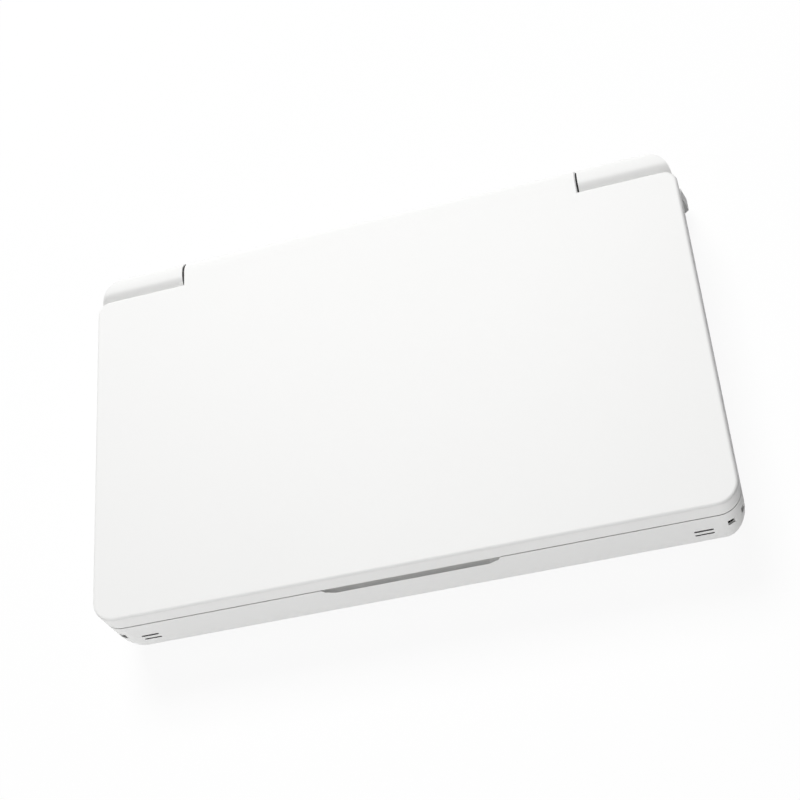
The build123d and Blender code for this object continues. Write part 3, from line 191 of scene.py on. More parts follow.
class Direction(Enum):
    """Which way a piece's own height runs in the frame."""

    UP = ((1, 0, 0), (0, 1, 0), (0, 0, 1))
    REAR = ((1, 0, 0), (0, 0, 1), (0, 1, 0))
    SIDE = ((0, 0, 1), (1, 0, 0), (0, 1, 0))

    def turn(self) -> Matrix:
        """Gives the turn from the piece's own axes to the frame's."""
        return Matrix(self.value).to_4x4()


@dataclass(frozen=True)
class Finish:
    """A surface: what it is made of and how it answers light before its own detail is added."""

    name: str
    colour: str
    roughness: float
    ior: float = 1.5
    metallic: float = 0.0

    def material(self) -> bpy.types.Material:
        """Makes the material at the first call.

        Returns:
            The Blender material of this finish.
        """
        made = bpy.data.materials.get(self.name)
        if made:
            return made
        made = bpy.data.materials.new(self.name)
        tree = empty_tree(made)
        settings = {
            "Base Color": linear_colour(self.colour),
            "Roughness": self.roughness,
            "Metallic": self.metallic,
        }
        if not self.metallic:
            settings["IOR"] = self.ior
        shader = add_node(tree, "ShaderNodeBsdfPrincipled", settings)
        add_node(tree, "ShaderNodeOutputMaterial", links={"Surface": shader.outputs["BSDF"]})
        self.detail(tree, shader)
        return made

    def detail(self, tree: Tree, shader: Node) -> None:
        """Adds the surface's own pattern to its shader. A plain finish has none."""

    def texture(
        self, tree: Tree, shader: Node, pattern: Output, depth_mm: float, gloss: Point
    ) -> None:
        """Lets a noise pattern lift the surface and change its roughness.

        Args:
            tree: the material's node tree.
            shader: the shader that takes both.
            pattern: the noise.
            depth_mm: how high it lifts the surface.
            gloss: how much smoother and how much rougher it makes it.
        """
        relief = {"Strength": 1.0, "Distance": mm(depth_mm)}
        bump = add_node(tree, "ShaderNodeBump", relief, {"Height": pattern})
        tree.links.new(bump.outputs["Normal"], shader.inputs["Normal"])
        less, more = gloss
        settings = {
            "From Min": NOISE_LOW,
            "From Max": NOISE_HIGH,
            "To Min": self.roughness - less,
            "To Max": self.roughness + more,
        }
        spread = add_node(tree, "ShaderNodeMapRange", settings, {"Value": pattern})
        tree.links.new(spread.outputs["Result"], shader.inputs["Roughness"])

    def vary_colour(self, tree: Tree, shader: Node, pattern: Output, other: str) -> None:
        """Lets the colour run between the finish's own and another by a pattern.

        Args:
            tree: the material's node tree.
            shader: the shader that takes the colour.
            pattern: a value from 0, the finish's own colour, to 1, the other.
            other: the other colour in hex.
        """
        mix = add_node(tree, "ShaderNodeMix", data_type="RGBA")
        colours = [socket for socket in mix.inputs if socket.type == "RGBA"]
        colours[0].default_value = linear_colour(self.colour)
        colours[1].default_value = linear_colour(other)
        tree.links.new(pattern, mix.inputs["Factor"])
        result = next(socket for socket in mix.outputs if socket.type == "RGBA")
        tree.links.new(result, shader.inputs["Base Color"])


@dataclass(frozen=True)
class MouldedPlastic(Finish):
    """Injection moulded plastic, or paint on it, that keeps the mould's fine erosion texture."""

    grain_mm: float = 0.35
    grain_depth_mm: float = 0.004
    gloss: Point = (0.04, 0.04)
    shade: str = ""
    shade_mm: float = 30.0

    def detail(self, tree: Tree, shader: Node) -> None:
        """Adds the mould's grain as fine bump, and a slow drift of the tint where one is named.

        Args:
            tree: the material's node tree.
            shader: its main shader.
        """
        place = add_node(tree, "ShaderNodeTexCoord").outputs["Object"]
        noise = {"Scale": 1.0 / mm(self.grain_mm), **GRAIN_NOISE}
        grain = add_node(tree, "ShaderNodeTexNoise", noise, {"Vector": place})
        self.texture(tree, shader, grain.outputs["Fac"], self.grain_depth_mm, self.gloss)
        if self.shade:
            noise = {"Scale": 1.0 / mm(self.shade_mm), **DRIFT_NOISE}
            drift = add_node(tree, "ShaderNodeTexNoise", noise, {"Vector": place})
            self.vary_colour(tree, shader, drift.outputs["Fac"], self.shade)


@dataclass(frozen=True)
class DrawnMetal(Finish):
    """Rolled, drawn or extruded metal, with fine lines along one direction."""

    line_mm: float = 0.3
    line_length_mm: float = 12.0
    line_depth_mm: float = 0.003
    gloss: Point = (0.07, 0.08)
    shade: str = WHITE

    def detail(self, tree: Tree, shader: Node) -> None:
        """Adds the drawn lines as a stretched noise in bump, roughness and tint.

        Args:
            tree: the material's node tree.
            shader: its main shader.
        """
        place = add_node(tree, "ShaderNodeTexCoord").outputs["Object"]
        along, across = 1.0 / mm(self.line_length_mm), 1.0 / mm(self.line_mm)
        scale = {"Scale": (along, across, across)}
        stretch = add_node(tree, "ShaderNodeMapping", scale, {"Vector": place})
        links = {"Vector": stretch.outputs["Vector"]}
        lines = add_node(tree, "ShaderNodeTexNoise", {"Scale": 1.0, **LINE_NOISE}, links)
        self.texture(tree, shader, lines.outputs["Fac"], self.line_depth_mm, self.gloss)
        self.vary_colour(tree, shader, lines.outputs["Fac"], self.shade)


@dataclass(frozen=True)
class PrintedGlass(Finish):
    """Cover glass with a black printed border round the unlit picture area behind it."""

    picture: str = "#1B1E24"
    picture_width_mm: float = 154.2
    picture_depth_mm: float = 86.4
    picture_y_mm: float = -6.8
    mirror_level: float = 0.2

    def detail(self, tree: Tree, shader: Node) -> None:
        """Colours the picture area by its real size, and dims the mirror image as a coating does.

        Args:
            tree: the material's node tree.
            shader: its main shader.
        """
        place = add_node(tree, "ShaderNodeTexCoord").outputs["Object"]
        parts = add_node(tree, "ShaderNodeSeparateXYZ", links={"Vector": place})
        spans = (0.0, self.picture_width_mm), (self.picture_y_mm, self.picture_depth_mm)
        inside = {}
        for index, (axis, (middle, size)) in enumerate(zip("XY", spans)):
            limits, links = {1: mm(middle), 2: mm(size / 2)}, {0: parts.outputs[axis]}
            test = add_node(tree, "ShaderNodeMath", limits, links, operation="COMPARE")
            inside[index] = test.outputs["Value"]
        both = add_node(tree, "ShaderNodeMath", links=inside, operation="MULTIPLY")
        self.vary_colour(tree, shader, both.outputs["Value"], self.picture)
        shader.inputs["Specular IOR Level"].default_value = self.mirror_level


@dataclass(frozen=True)
class SolderMask(Finish):
    """A circuit board's lacquer over copper tracks, which show as slightly lighter runs."""

    track_mm: float = 0.9
    track_parts: int = 5
    run_tracks: int = 7
    relief_mm: float = 0.02
    relief_strength: float = 0.6
    track: str = "#0F4A38"

    def detail(self, tree: Tree, shader: Node) -> None:
        """Adds tracks as the lines of a grid of long cells, raised a little under the lacquer.

        Args:
            tree: the material's node tree.
            shader: its main shader.
        """
        place = add_node(tree, "ShaderNodeTexCoord").outputs["Object"]
        grid = {
            "Scale": 1.0,
            "Mortar Size": mm(self.track_mm) / self.track_parts,
            "Brick Width": mm(self.track_mm) * self.run_tracks,
            "Row Height": mm(self.track_mm),
        }
        runs = add_node(tree, "ShaderNodeTexBrick", grid, {"Vector": place})
        self.vary_colour(tree, shader, runs.outputs["Fac"], self.track)
        relief = {"Strength": self.relief_strength, "Distance": mm(self.relief_mm)}
        bump = add_node(tree, "ShaderNodeBump", relief, {"Height": runs.outputs["Fac"]})
        tree.links.new(bump.outputs["Normal"], shader.inputs["Normal"])


# Satin paint on moulded ABS: broad soft highlight, the mould's grain barely showing through
LID_PAINT = MouldedPlastic(
    "satin_paint_on_moulded_abs_lid", "#F3F3F2", 0.52, 1.46,
    grain_mm=0.30, grain_depth_mm=0.0012, shade="#F1F1F0", shade_mm=45.0,
)
# The same paint on the base, a shade greyer, as separate batches of paint are
BASE_PAINT = MouldedPlastic(
    "satin_paint_on_moulded_abs_base", "#F1F1F0", 0.54, 1.46,
    grain_mm=0.30, grain_depth_mm=0.0014, shade="#EFEFEE", shade_mm=45.0,
)
# Bare black ABS with a coarser mould grain: dull, no sharp highlight
BLACK_ABS = MouldedPlastic(
    "moulded_black_abs", "#1E1F21", 0.55, 1.53,
    grain_mm=0.40, grain_depth_mm=0.006, shade="#232427", shade_mm=20.0,
)
# Grey glass-filled nylon of the sticks' and the pad's carriers: dry, slightly mottled
GREY_NYLON = MouldedPlastic(
    "moulded_grey_glass_filled_nylon", "#6C6F71", 0.60, 1.53,
    grain_mm=0.45, grain_depth_mm=0.006, shade="#777A7C", shade_mm=6.0,
)
# Key caps: charcoal ABS, silky from handling on top
KEY_ABS = MouldedPlastic(
    "moulded_charcoal_abs_keys", "#2B2C2F", 0.48, 1.53,
    grain_mm=0.28, grain_depth_mm=0.003, shade="#2F3033", shade_mm=9.0,
)
# Buttons: black polycarbonate from a satin mould, a broad soft highlight
BUTTON_POLYCARBONATE = MouldedPlastic(
    "satin_black_polycarbonate", "#191A1C", 0.46, 1.585, grain_mm=0.35, grain_depth_mm=0.002
)
# Silicone rubber: matt with a soft grey bloom in patches
SILICONE = MouldedPlastic(
    "moulded_black_silicone_rubber", "#202123", 0.78, 1.41,
    grain_mm=0.5, grain_depth_mm=0.010, shade="#292A2C", shade_mm=4.0,
)
# Painted shade: a near-black matt sheet set inside openings where there is only shade, so that
# they render dark
PAINTED_SHADE_SHEET = MouldedPlastic(
    "painted_shade_sheet_in_openings", "#0C0C0D", 0.95, 1.5, grain_mm=0.2, grain_depth_mm=0.01
)
# Hardened glass over black print, with an anti-reflective layer: sharp but dim mirror images
COVER_GLASS = PrintedGlass("hardened_cover_glass_black_print", "#060607", 0.06, 1.52)
# The panel's own polariser film behind the glass: a dark, half glossy sheet
PANEL_FILM = MouldedPlastic(
    "polariser_film_on_unlit_panel", "#101215", 0.30, 1.49, grain_mm=1.0, grain_depth_mm=0.001
)
# Rolled stainless steel of shafts, brackets and socket shells: fine lines, grey reflections
ROLLED_STEEL = DrawnMetal(
    "rolled_stainless_steel", "#B4B5B7", 0.34, metallic=1.0, shade="#A6A8AA"
)
# Black anodised aluminium of the plate under the keys: the dye leaves a dull sheen in the gaps
ANODISED_PLATE = MouldedPlastic(
    "black_anodised_rolled_aluminium", "#17181A", 0.62, 1.5,
    grain_mm=0.4, grain_depth_mm=0.004, shade="#1C1D1F", shade_mm=12.0,
)
# Extruded aluminium of the cooling fins: paler and softer than the steel
EXTRUDED_ALUMINIUM = DrawnMetal(
    "extruded_aluminium", "#CFD1D3", 0.38, metallic=1.0, shade="#C2C4C7", line_mm=0.25
)
# Bare copper of the heat pipe, lightly tarnished: warm, with streaks along it
DRAWN_COPPER = DrawnMetal(
    "drawn_copper_heat_pipe", "#C98A63", 0.36, metallic=1.0, shade="#A96E4C", line_mm=0.5
)
# Gold flash on the sockets' contacts: a warm glint
GOLD_FLASH = DrawnMetal("gold_flashed_contacts", "#D8B26A", 0.28, metallic=1.0, shade="#C79F57")
# Glass-fibre board under dark green lacquer: glossy, with faint raised runs
BOARD_LACQUER = SolderMask("solder_mask_on_glass_fibre_board", "#0B3A2C", 0.35, 1.5)
# Black laminate wrapped round the pouch cells: half glossy, wrinkled at a few millimetres
CELL_LAMINATE = MouldedPlastic(
    "black_laminate_round_pouch_cells", "#26272A", 0.40, 1.5,
    grain_mm=3.0, grain_depth_mm=0.05, shade="#303134", shade_mm=8.0,
)

FRAME_FINISHES: dict[Finish, tuple[str, ...]] = {
    LID_PAINT: ("lid_cover", "hinge_cover"),
    BASE_PAINT: (
        "base_shell", "bottom_cover", "keyboard_frame", *pair("shoulder_button"), *pair("trigger"),
    ),
    BLACK_ABS: (
        "screen_frame", "rear_grille", "touchpad", "audio_jack", "fan_rotor", "fan_housing",
        *pair("speaker"),
    ),
    GREY_NYLON: (*pair("stick_module"), *pair("stick_ring"), "cross_pad_seat"),
    KEY_ABS: KEY_ROWS,
    BUTTON_POLYCARBONATE: (*ROUND_BUTTONS, "cross_pad", *pair("back_button")),
    SILICONE: ("lid_bumpers", "rubber_feet", *pair("stick_cap"), *pair("stick_ball")),
    COVER_GLASS: ("display_glass",),
    PANEL_FILM: ("display_panel",),
    ROLLED_STEEL: (
        "cover_screws", "usb_c_ports", "usb_a_port", "trigger_pins", *pair("hinge_leaf"),
        *pair("hinge_bracket"),
    ),
    ANODISED_PLATE: ("keyboard_plate",),
    EXTRUDED_ALUMINIUM: ("fin_stack",),
    DRAWN_COPPER: ("heat_pipe",),
    BOARD_LACQUER: ("mainboard", "solid_state_drive", "button_boards"),
    CELL_LAMINATE: ("battery",),
}


def polar(radius: float, angle: float) -> Point:
    """The point at a radius and an angle in radians about the origin."""
    return radius * math.cos(angle), radius * math.sin(angle)


def rounded_rectangle(width: float, depth: float, radius: float, steps: int) -> list[Point]:
    """A rectangle with round corners, about the origin, anticlockwise.

    Args:
        width: size along X.
        depth: size along Y.
        radius: corner radius.
        steps: straight runs in each corner.

    Returns:
        The outline's points.
    """
    points = []
    for quarter, (side_x, side_y) in enumerate(((1, 1), (-1, 1), (-1, -1), (1, -1))):
        for step in range(steps + 1):
            x, y = polar(radius, math.pi / 2 * (quarter + step / steps))
            points.append((side_x * (width / 2 - radius) + x, side_y * (depth / 2 - radius) + y))
    return points


def easing_rectangle(
    width: float, depth: float, corner: float, tighten: float, steps: int
) -> Outline:
    """Gives a rectangle with round corners that tighten as it is moved in.

    Args:
        width: size along X.
        depth: size along Y.
        corner: corner radius of the whole rectangle.
        tighten: how much the radius loses for each metre of inset.
        steps: straight runs in each corner.

    Returns:
        The outline at any inset.
    """
    return lambda inset: rounded_rectangle(
        width - 2 * inset, depth - 2 * inset, corner - inset * tighten, steps
    )


def pill(length: float, width: float) -> Outline:
    """Gives an oblong with round ends."""
    return easing_rectangle(length, width, width * END_ROUND, 2 * END_ROUND, END_STEPS)


def circle(radius: float, facets: int, ripple: float = 0.0, ripples: int = 0) -> list[Point]:
    """A circle, rippled where a knurled grip is wanted.

    Args:
        radius: the largest radius.
        facets: the number of points.
        ripple: depth of each groove.
        ripples: the number of grooves.

    Returns:
        The outline's points, anticlockwise.
    """
    points = []
    for index in range(facets):
        angle = 2 * math.pi * index / facets
        points.append(polar(radius - ripple * (0.5 - 0.5 * math.cos(ripples * angle)), angle))
    return points


def disc(radius: float, facets: int) -> Outline:
    """Gives a plain circle."""
    return lambda inset: circle(radius - inset, facets)


def sector(inner: float, outer: float, start: float, end: float, steps: int = 6) -> list[Point]:
    """A flat piece of a ring between two angles, anticlockwise about the origin.

    Args:
        inner: the smaller radius.
        outer: the larger radius.
        start: the first angle, in degrees.
        end: the last angle, in degrees.
        steps: straight runs along each arc.

    Returns:
        The outline's points.
    """
    angles = [math.radians(start + (end - start) * step / steps) for step in range(steps + 1)]
    outside = [polar(outer, angle) for angle in angles]
    return outside + [polar(inner, angle) for angle in reversed(angles)]


def cross_outline(span: float, arm: float, radius: float, steps: int = 5) -> list[Point]:
    """A cross with round outer corners and sharp inner ones, anticlockwise about the origin.

    Args:
        span: length over two opposite arms.
        arm: width of an arm.
        radius: radius of the arms' corners.
        steps: straight runs in each corner.

    Returns:
        The outline's points.
    """
    points = []
    for turn in range(4):
        quarter = Matrix.Rotation(turn * math.pi / 2, 2)
        for corner in (-1, 1):
            for step in range(steps + 1):
                x, y = polar(radius, math.pi / 2 * (step / steps + (corner - 1) / 2))
                local = Vector((span / 2 - radius + x, corner * (arm / 2 - radius) + y))
                points.append(tuple(quarter @ local))
        points.append(tuple(quarter @ Vector((arm / 2, arm / 2))))
    return points


def inset_rings(outline: Outline, profile_mm: Profile, datum: float) -> list[Ring]:
    """Makes rings of an outline from a profile of insets and heights over a datum in metres."""
    return [(outline(mm(inset)), datum + mm(height)) for inset, height in profile_mm]


class Form:
    """A mesh under construction, made of level rings that are bridged and capped."""

    def __init__(self) -> None:
        """Starts with no rings."""
        self.mesh = bmesh.new()

    def ring(self, outline: Sequence[Point], height: float, centre: Point) -> list:
        """Adds a ring of points about a centre and returns its vertices."""
        return [self.mesh.verts.new((x + centre[0], y + centre[1], height)) for x, y in outline]

    def bridge(self, lower: list, upper: list) -> None:
        """Joins two rings by a band of faces.

        Args:
            lower: the vertices of the first ring.
            upper: as many vertices of the second ring.
        """
        count = len(lower)
        for index in range(count):
            after = (index + 1) % count
            self.mesh.faces.new((lower[index], lower[after], upper[after], upper[index]))

    def stack(self, rings: Iterable[Ring], centre: Point) -> None:
        """Builds a closed solid from rings in order, with a cap at each end.

        Args:
            rings: outlines with their heights, each outline of as many points.
            centre: where the rings' centres lie.
        """
        made = [self.ring(outline, height, centre) for outline, height in rings]
        for lower, upper in zip(made, made[1:]):
            self.bridge(lower, upper)
        self.mesh.faces.new(list(reversed(made[0])))
        self.mesh.faces.new(made[-1])

    def turned_ring(self, profile: Iterable[Point], centre: Point, facets: int = 64) -> None:
        """Builds a turned solid with a hole through it.

        Args:
            profile: radius and height of each corner, once round the section.
            centre: where the axis stands.
            facets: the number of points in each ring.
        """
        rings = [self.ring(circle(radius, facets), height, centre) for radius, height in profile]
        for index, ring in enumerate(rings):
            self.bridge(ring, rings[(index + 1) % len(rings)])

    def lathe(self, profile: Iterable[Point], centre: Point, facets: int = 48) -> None:
        """Builds a closed turned solid from the radius and height of each ring."""
        self.stack([(circle(radius, facets), height) for radius, height in profile], centre)

    def piece(
        self,
        name: str,
        finish: Finish,
        body: str,
        slot: Slot,
        replaces: Sequence[str] = (),
        direction: Direction = Direction.UP,
    ) -> None:
        """Ends the mesh and puts it in the scene as a piece of the object.

        Args:
            name: the piece's name.
            finish: its finish.
            body: the body it rides on.
            slot: not used.
            replaces: nodes of the frame that it stands for.
            direction: where the rings' height points.
        """
        bmesh.ops.transform(self.mesh, matrix=direction.turn(), verts=self.mesh.verts)
        bmesh.ops.recalc_face_normals(self.mesh, faces=self.mesh.faces)
        for face in self.mesh.faces:
            face.smooth = True
        data = bpy.data.meshes.new(name)
        self.mesh.to_mesh(data)
        self.mesh.free()
        data.set_sharp_from_angle(angle=math.radians(SHARP_DEGREES))
        data.materials.append(finish.material())
        made = add_object(name, data)
        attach(made, body)
        if replaces:
            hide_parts(*replaces)
        log.info("%s: %d faces in %s", name, len(data.polygons), finish.name)


@dataclass(frozen=True)
class Box:
    """A box in the frame by its lowest and highest corner, in metres."""

    low: Vector
    high: Vector

    @property
    def middle(self) -> Vector:
        """The box's middle."""
        return (self.low + self.high) / 2

    @property
    def size(self) -> Vector:
        """The box's size along each axis."""
        return self.high - self.low

    @property
    def plan(self) -> Point:
        """The middle as seen from above."""
        return self.middle.x, self.middle.y

    @property
    def elevation(self) -> Point:
        """The middle as seen from the rear."""
        return self.middle.x, self.middle.z


def separate_boxes(node: bpy.types.Object) -> list[Box]:
    """Finds the box of each separate solid in a node of the frame.

    Args:
        node: the node's object.

    Returns:
        The solids' boxes, ordered by place.
    """
    corners = [tuple(round(value, 6) for value in vertex.co) for vertex in node.data.vertices]
    parent = {corner: corner for corner in corners}

    def root(corner: tuple) -> tuple:
        """Follows the links to the solid's first corner.

        Args:
            corner: any corner of the solid.

        Returns:
            The first corner, which stands for the solid.
        """
        while parent[corner] != corner:
            parent[corner] = parent[parent[corner]]
            corner = parent[corner]
        return corner

    for face in node.data.polygons:
        first = root(corners[face.vertices[0]])
        for index in face.vertices[1:]:
            parent[root(corners[index])] = first
    groups: dict[tuple, list] = {}
    for corner in parent:
        groups.setdefault(root(corner), []).append(corner)
    boxes = []
    for members in groups.values():
        lows = [min(values) for values in zip(*members)]
        highs = [max(values) for values in zip(*members)]
        boxes.append(Box(Vector(lows), Vector(highs)))
    return sorted(boxes, key=lambda box: tuple(box.low))


@dataclass
class KeyCaps:
    """The rows of keys: each cap has round corners, sloping sides and a shallow dish.

    The profile gives each ring's inset and its height over the cap's top.
    """

    nodes: Nodes
    corner_mm: float = 0.95
    corner_tighten: float = 1 / 3
    corner_steps: int = 4
    profile_mm: Profile = (
        (0.0, -0.85), (0.315, -0.32), (0.484, -0.112), (0.708, 0.0), (1.1, -0.056), (1.87, -0.16),
    )

    def cap(self, form: Form, box: Box) -> None:
        """Adds one cap that fills a key's box.

        Args:
            form: the row's mesh.
            box: the key's box in the frame.
        """
        corner, size = mm(self.corner_mm), box.size
        outline = easing_rectangle(size.x, size.y, corner, self.corner_tighten, self.corner_steps)
        rings = [(outline(0.0), box.low.z), *inset_rings(outline, self.profile_mm, box.high.z)]
        form.stack(rings, box.plan)

    def build(self) -> None:
        """Builds each row as one piece on its own body."""
        for row in KEY_ROWS:
            form = Form()
            for box in separate_boxes(self.nodes[row]):
                self.cap(form, box)
            form.piece(f"{row}_caps", KEY_ABS, row, Slot.KEY_PLASTIC, (row,))


@dataclass
class RoundButtons:
    """The round buttons of the deck: a stem, a flange under the deck, and a domed cap.

    The dome's profile gives shares of the cap's radius and of the dome's height below its top.
    """

    flange_mm: float = 0.6
    flange_thickness_mm: float = 0.7
    stem_mm: float = 0.9
    stem_radius_mm: float = 1.15
    stem_foot_radius_mm: float = 1.14885
    edge_mm: float = 0.45
    edge_steps: int = 4
    dome_mm: float = 0.22
    dome_profile: Profile = ((0.62, 0.45), (0.34, 0.12), (0.08, 0.0))

    def profile(self, box: Box) -> list[Point]:
        """Works out one button's turned profile.

        Args:
            box: the button's box in the frame.

        Returns:
            Radius and height of each ring, from the bottom.
        """
        low, top, flange_radius = box.low.z, box.high.z, box.size.y / 2
        radius = flange_radius - mm(self.flange_mm)
        flange_low = low + mm(self.stem_mm)
        flange_top = flange_low + mm(self.flange_thickness_mm)
        edge, dome = mm(self.edge_mm), mm(self.dome_mm)
        steps = range(self.edge_steps + 1)
        arc = [polar(edge, math.pi / 2 * step / self.edge_steps) for step in steps]
        return [
            (mm(self.stem_foot_radius_mm), low),
            (mm(self.stem_radius_mm), flange_low),
            (flange_radius, flange_low),
            (flange_radius, flange_top),
            (radius, flange_top),
            *[(radius - edge + reach, top - dome - edge + height) for reach, height in arc],
            *[(radius * share, top - dome * drop) for share, drop in self.dome_profile],
        ]

    def build(self) -> None:
        """Builds every button on its own body."""
        for name in ROUND_BUTTONS:
            box = Box(*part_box(name))
            form = Form()
            form.lathe(self.profile(box), box.plan)
            form.piece(f"{name}_cap", BUTTON_POLYCARBONATE, name, Slot.BUTTON_PLASTIC, (name,))


@dataclass
class ThumbSticks:
    """The two sticks: a concave grooved cap on its stem, over a round ball.

    Profiles give insets and heights: the flare from the stem's radius and the cap's underside,
    the skirt from the cap's radius and underside, the rim from the cap's radius and top.
    """

    cap_thickness_mm: float = 2.2
    stem_radius_mm: float = 1.35
    stem_flare_mm: Profile = ((0.0, -1.6), (-0.35, -0.4), (-1.1, 0.0))
    skirt_mm: Profile = ((0.7, 0.05), (0.25, 0.3))
    grip_low_mm: float = 0.55
    grip_high_mm: float = 0.65
    groove_mm: float = 0.16
    grooves: int = 36
    facets: int = 144
    rim_mm: Profile = ((0.15, -0.3), (0.45, -0.06), (0.75, 0.0), (1.25, -0.12))
    dish_mm: float = 0.75
    dish_shares: tuple[float, ...] = (0.8, 0.6, 0.4, 0.2, 0.04)
    ball_radius_mm: float = 3.645
    ball_bore_mm: float = 1.45
    ball_reach_degrees: float = 64.0
    ball_rings: int = 20
    pin_radius_mm: float = 0.5
    pin_start_mm: float = 2.0
    pin_facets: int = 24

    def cap(self, name: str) -> None:
        """Builds the cap and stem of one stick.

        Args:
            name: the cap's node and body.
        """
        box = Box(*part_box(name))
        radius, top = box.size.x / 2, box.high.z
        under = top - mm(self.cap_thickness_mm)
        stem, cap = disc(mm(self.stem_radius_mm), self.facets), disc(radius, self.facets)
        grooved = circle(radius, self.facets, mm(self.groove_mm), self.grooves)
        rim_inset, rim_height = self.rim_mm[-1]
        dish_radius, dish_top = radius - mm(rim_inset), top + mm(rim_height)
        rings = [
            (stem(0.0), box.low.z),
            *inset_rings(stem, self.stem_flare_mm, under),
            *inset_rings(cap, self.skirt_mm, under),
            (grooved, under + mm(self.grip_low_mm)),
            (grooved, top - mm(self.grip_high_mm)),
            *inset_rings(cap, self.rim_mm, top),
        ]
        for share in self.dish_shares:
            height = dish_top - mm(self.dish_mm) * (1 - share**2)
            rings.append((circle(dish_radius * share, self.facets), height))
        form = Form()
        form.stack(rings, box.plan)
        form.piece(f"{name}_grip", SILICONE, name, Slot.RUBBER, (name,))

    def ball(self, name: str) -> None:
        """Builds the ball that one stick's stem slides in, with its pins.

        Args:
            name: the ball's node and body.
        """
        box = Box(*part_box(name))
        radius, bore = mm(self.ball_radius_mm), mm(self.ball_bore_mm)
        profile = []
        for step in range(self.ball_rings + 1):
            angle = math.radians(self.ball_reach_degrees * (2 * step / self.ball_rings - 1))
            reach, height = polar(radius, angle)
            profile.append((reach, box.middle.z + height))
        profile += [(bore, profile[-1][1]), (bore, profile[0][1])]
        form = Form()
        form.turned_ring(profile, box.plan)
        form.piece(f"{name}_dome", SILICONE, name, Slot.RUBBER, (name,))
        pins = Form()
        outline = circle(mm(self.pin_radius_mm), self.pin_facets)
        for side in SIDES.values():
            start = box.middle.y + side * mm(self.pin_start_mm)
            end = box.middle.y + side * box.size.y / 2
            pins.stack([(outline, start), (outline, end)], box.elevation)
        pins.piece(f"{name}_pin", ROLLED_STEEL, name, Slot.STEEL, direction=Direction.REAR)

    def build(self) -> None:
        """Builds both sticks."""
        for side in SIDES:
            self.cap(f"stick_cap_{side}")
            self.ball(f"stick_ball_{side}")


@dataclass
class CrossPad:
    """The cross-shaped pad: arms with round corners and an eased edge, over a round flange.

    The profile gives each ring's inset and its height over the pad's top.
    """

    arm_mm: float = 5.6
    span_mm: float = 17.0
    corner_mm: float = 1.1
    flange_mm: float = 0.7
    profile_mm: Profile = ((0.0, -0.4), (0.12, -0.12), (0.4, 0.0), (0.72, -0.05))

    def build(self) -> None:
        """Builds the pad on its body."""
        box = Box(*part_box("cross_pad"))
        low, radius = box.low.z, box.size.x / 2
        flange_top = low + mm(self.flange_mm)
        span, arm, corner = mm(self.span_mm), mm(self.arm_mm), mm(self.corner_mm)

        def outline(shrink: float) -> list[Point]:
            """The cross, moved in."""
            return cross_outline(span - 2 * shrink, arm - 2 * shrink, corner - shrink)

        form = Form()
        rings = [(outline(0.0), flange_top), *inset_rings(outline, self.profile_mm, box.high.z)]
        form.stack(rings, box.plan)
        form.lathe([(radius, low), (radius, flange_top)], box.plan)
        form.piece(
            "cross_pad_cap", BUTTON_POLYCARBONATE, "cross_pad", Slot.BUTTON_PLASTIC, ("cross_pad",)
        )


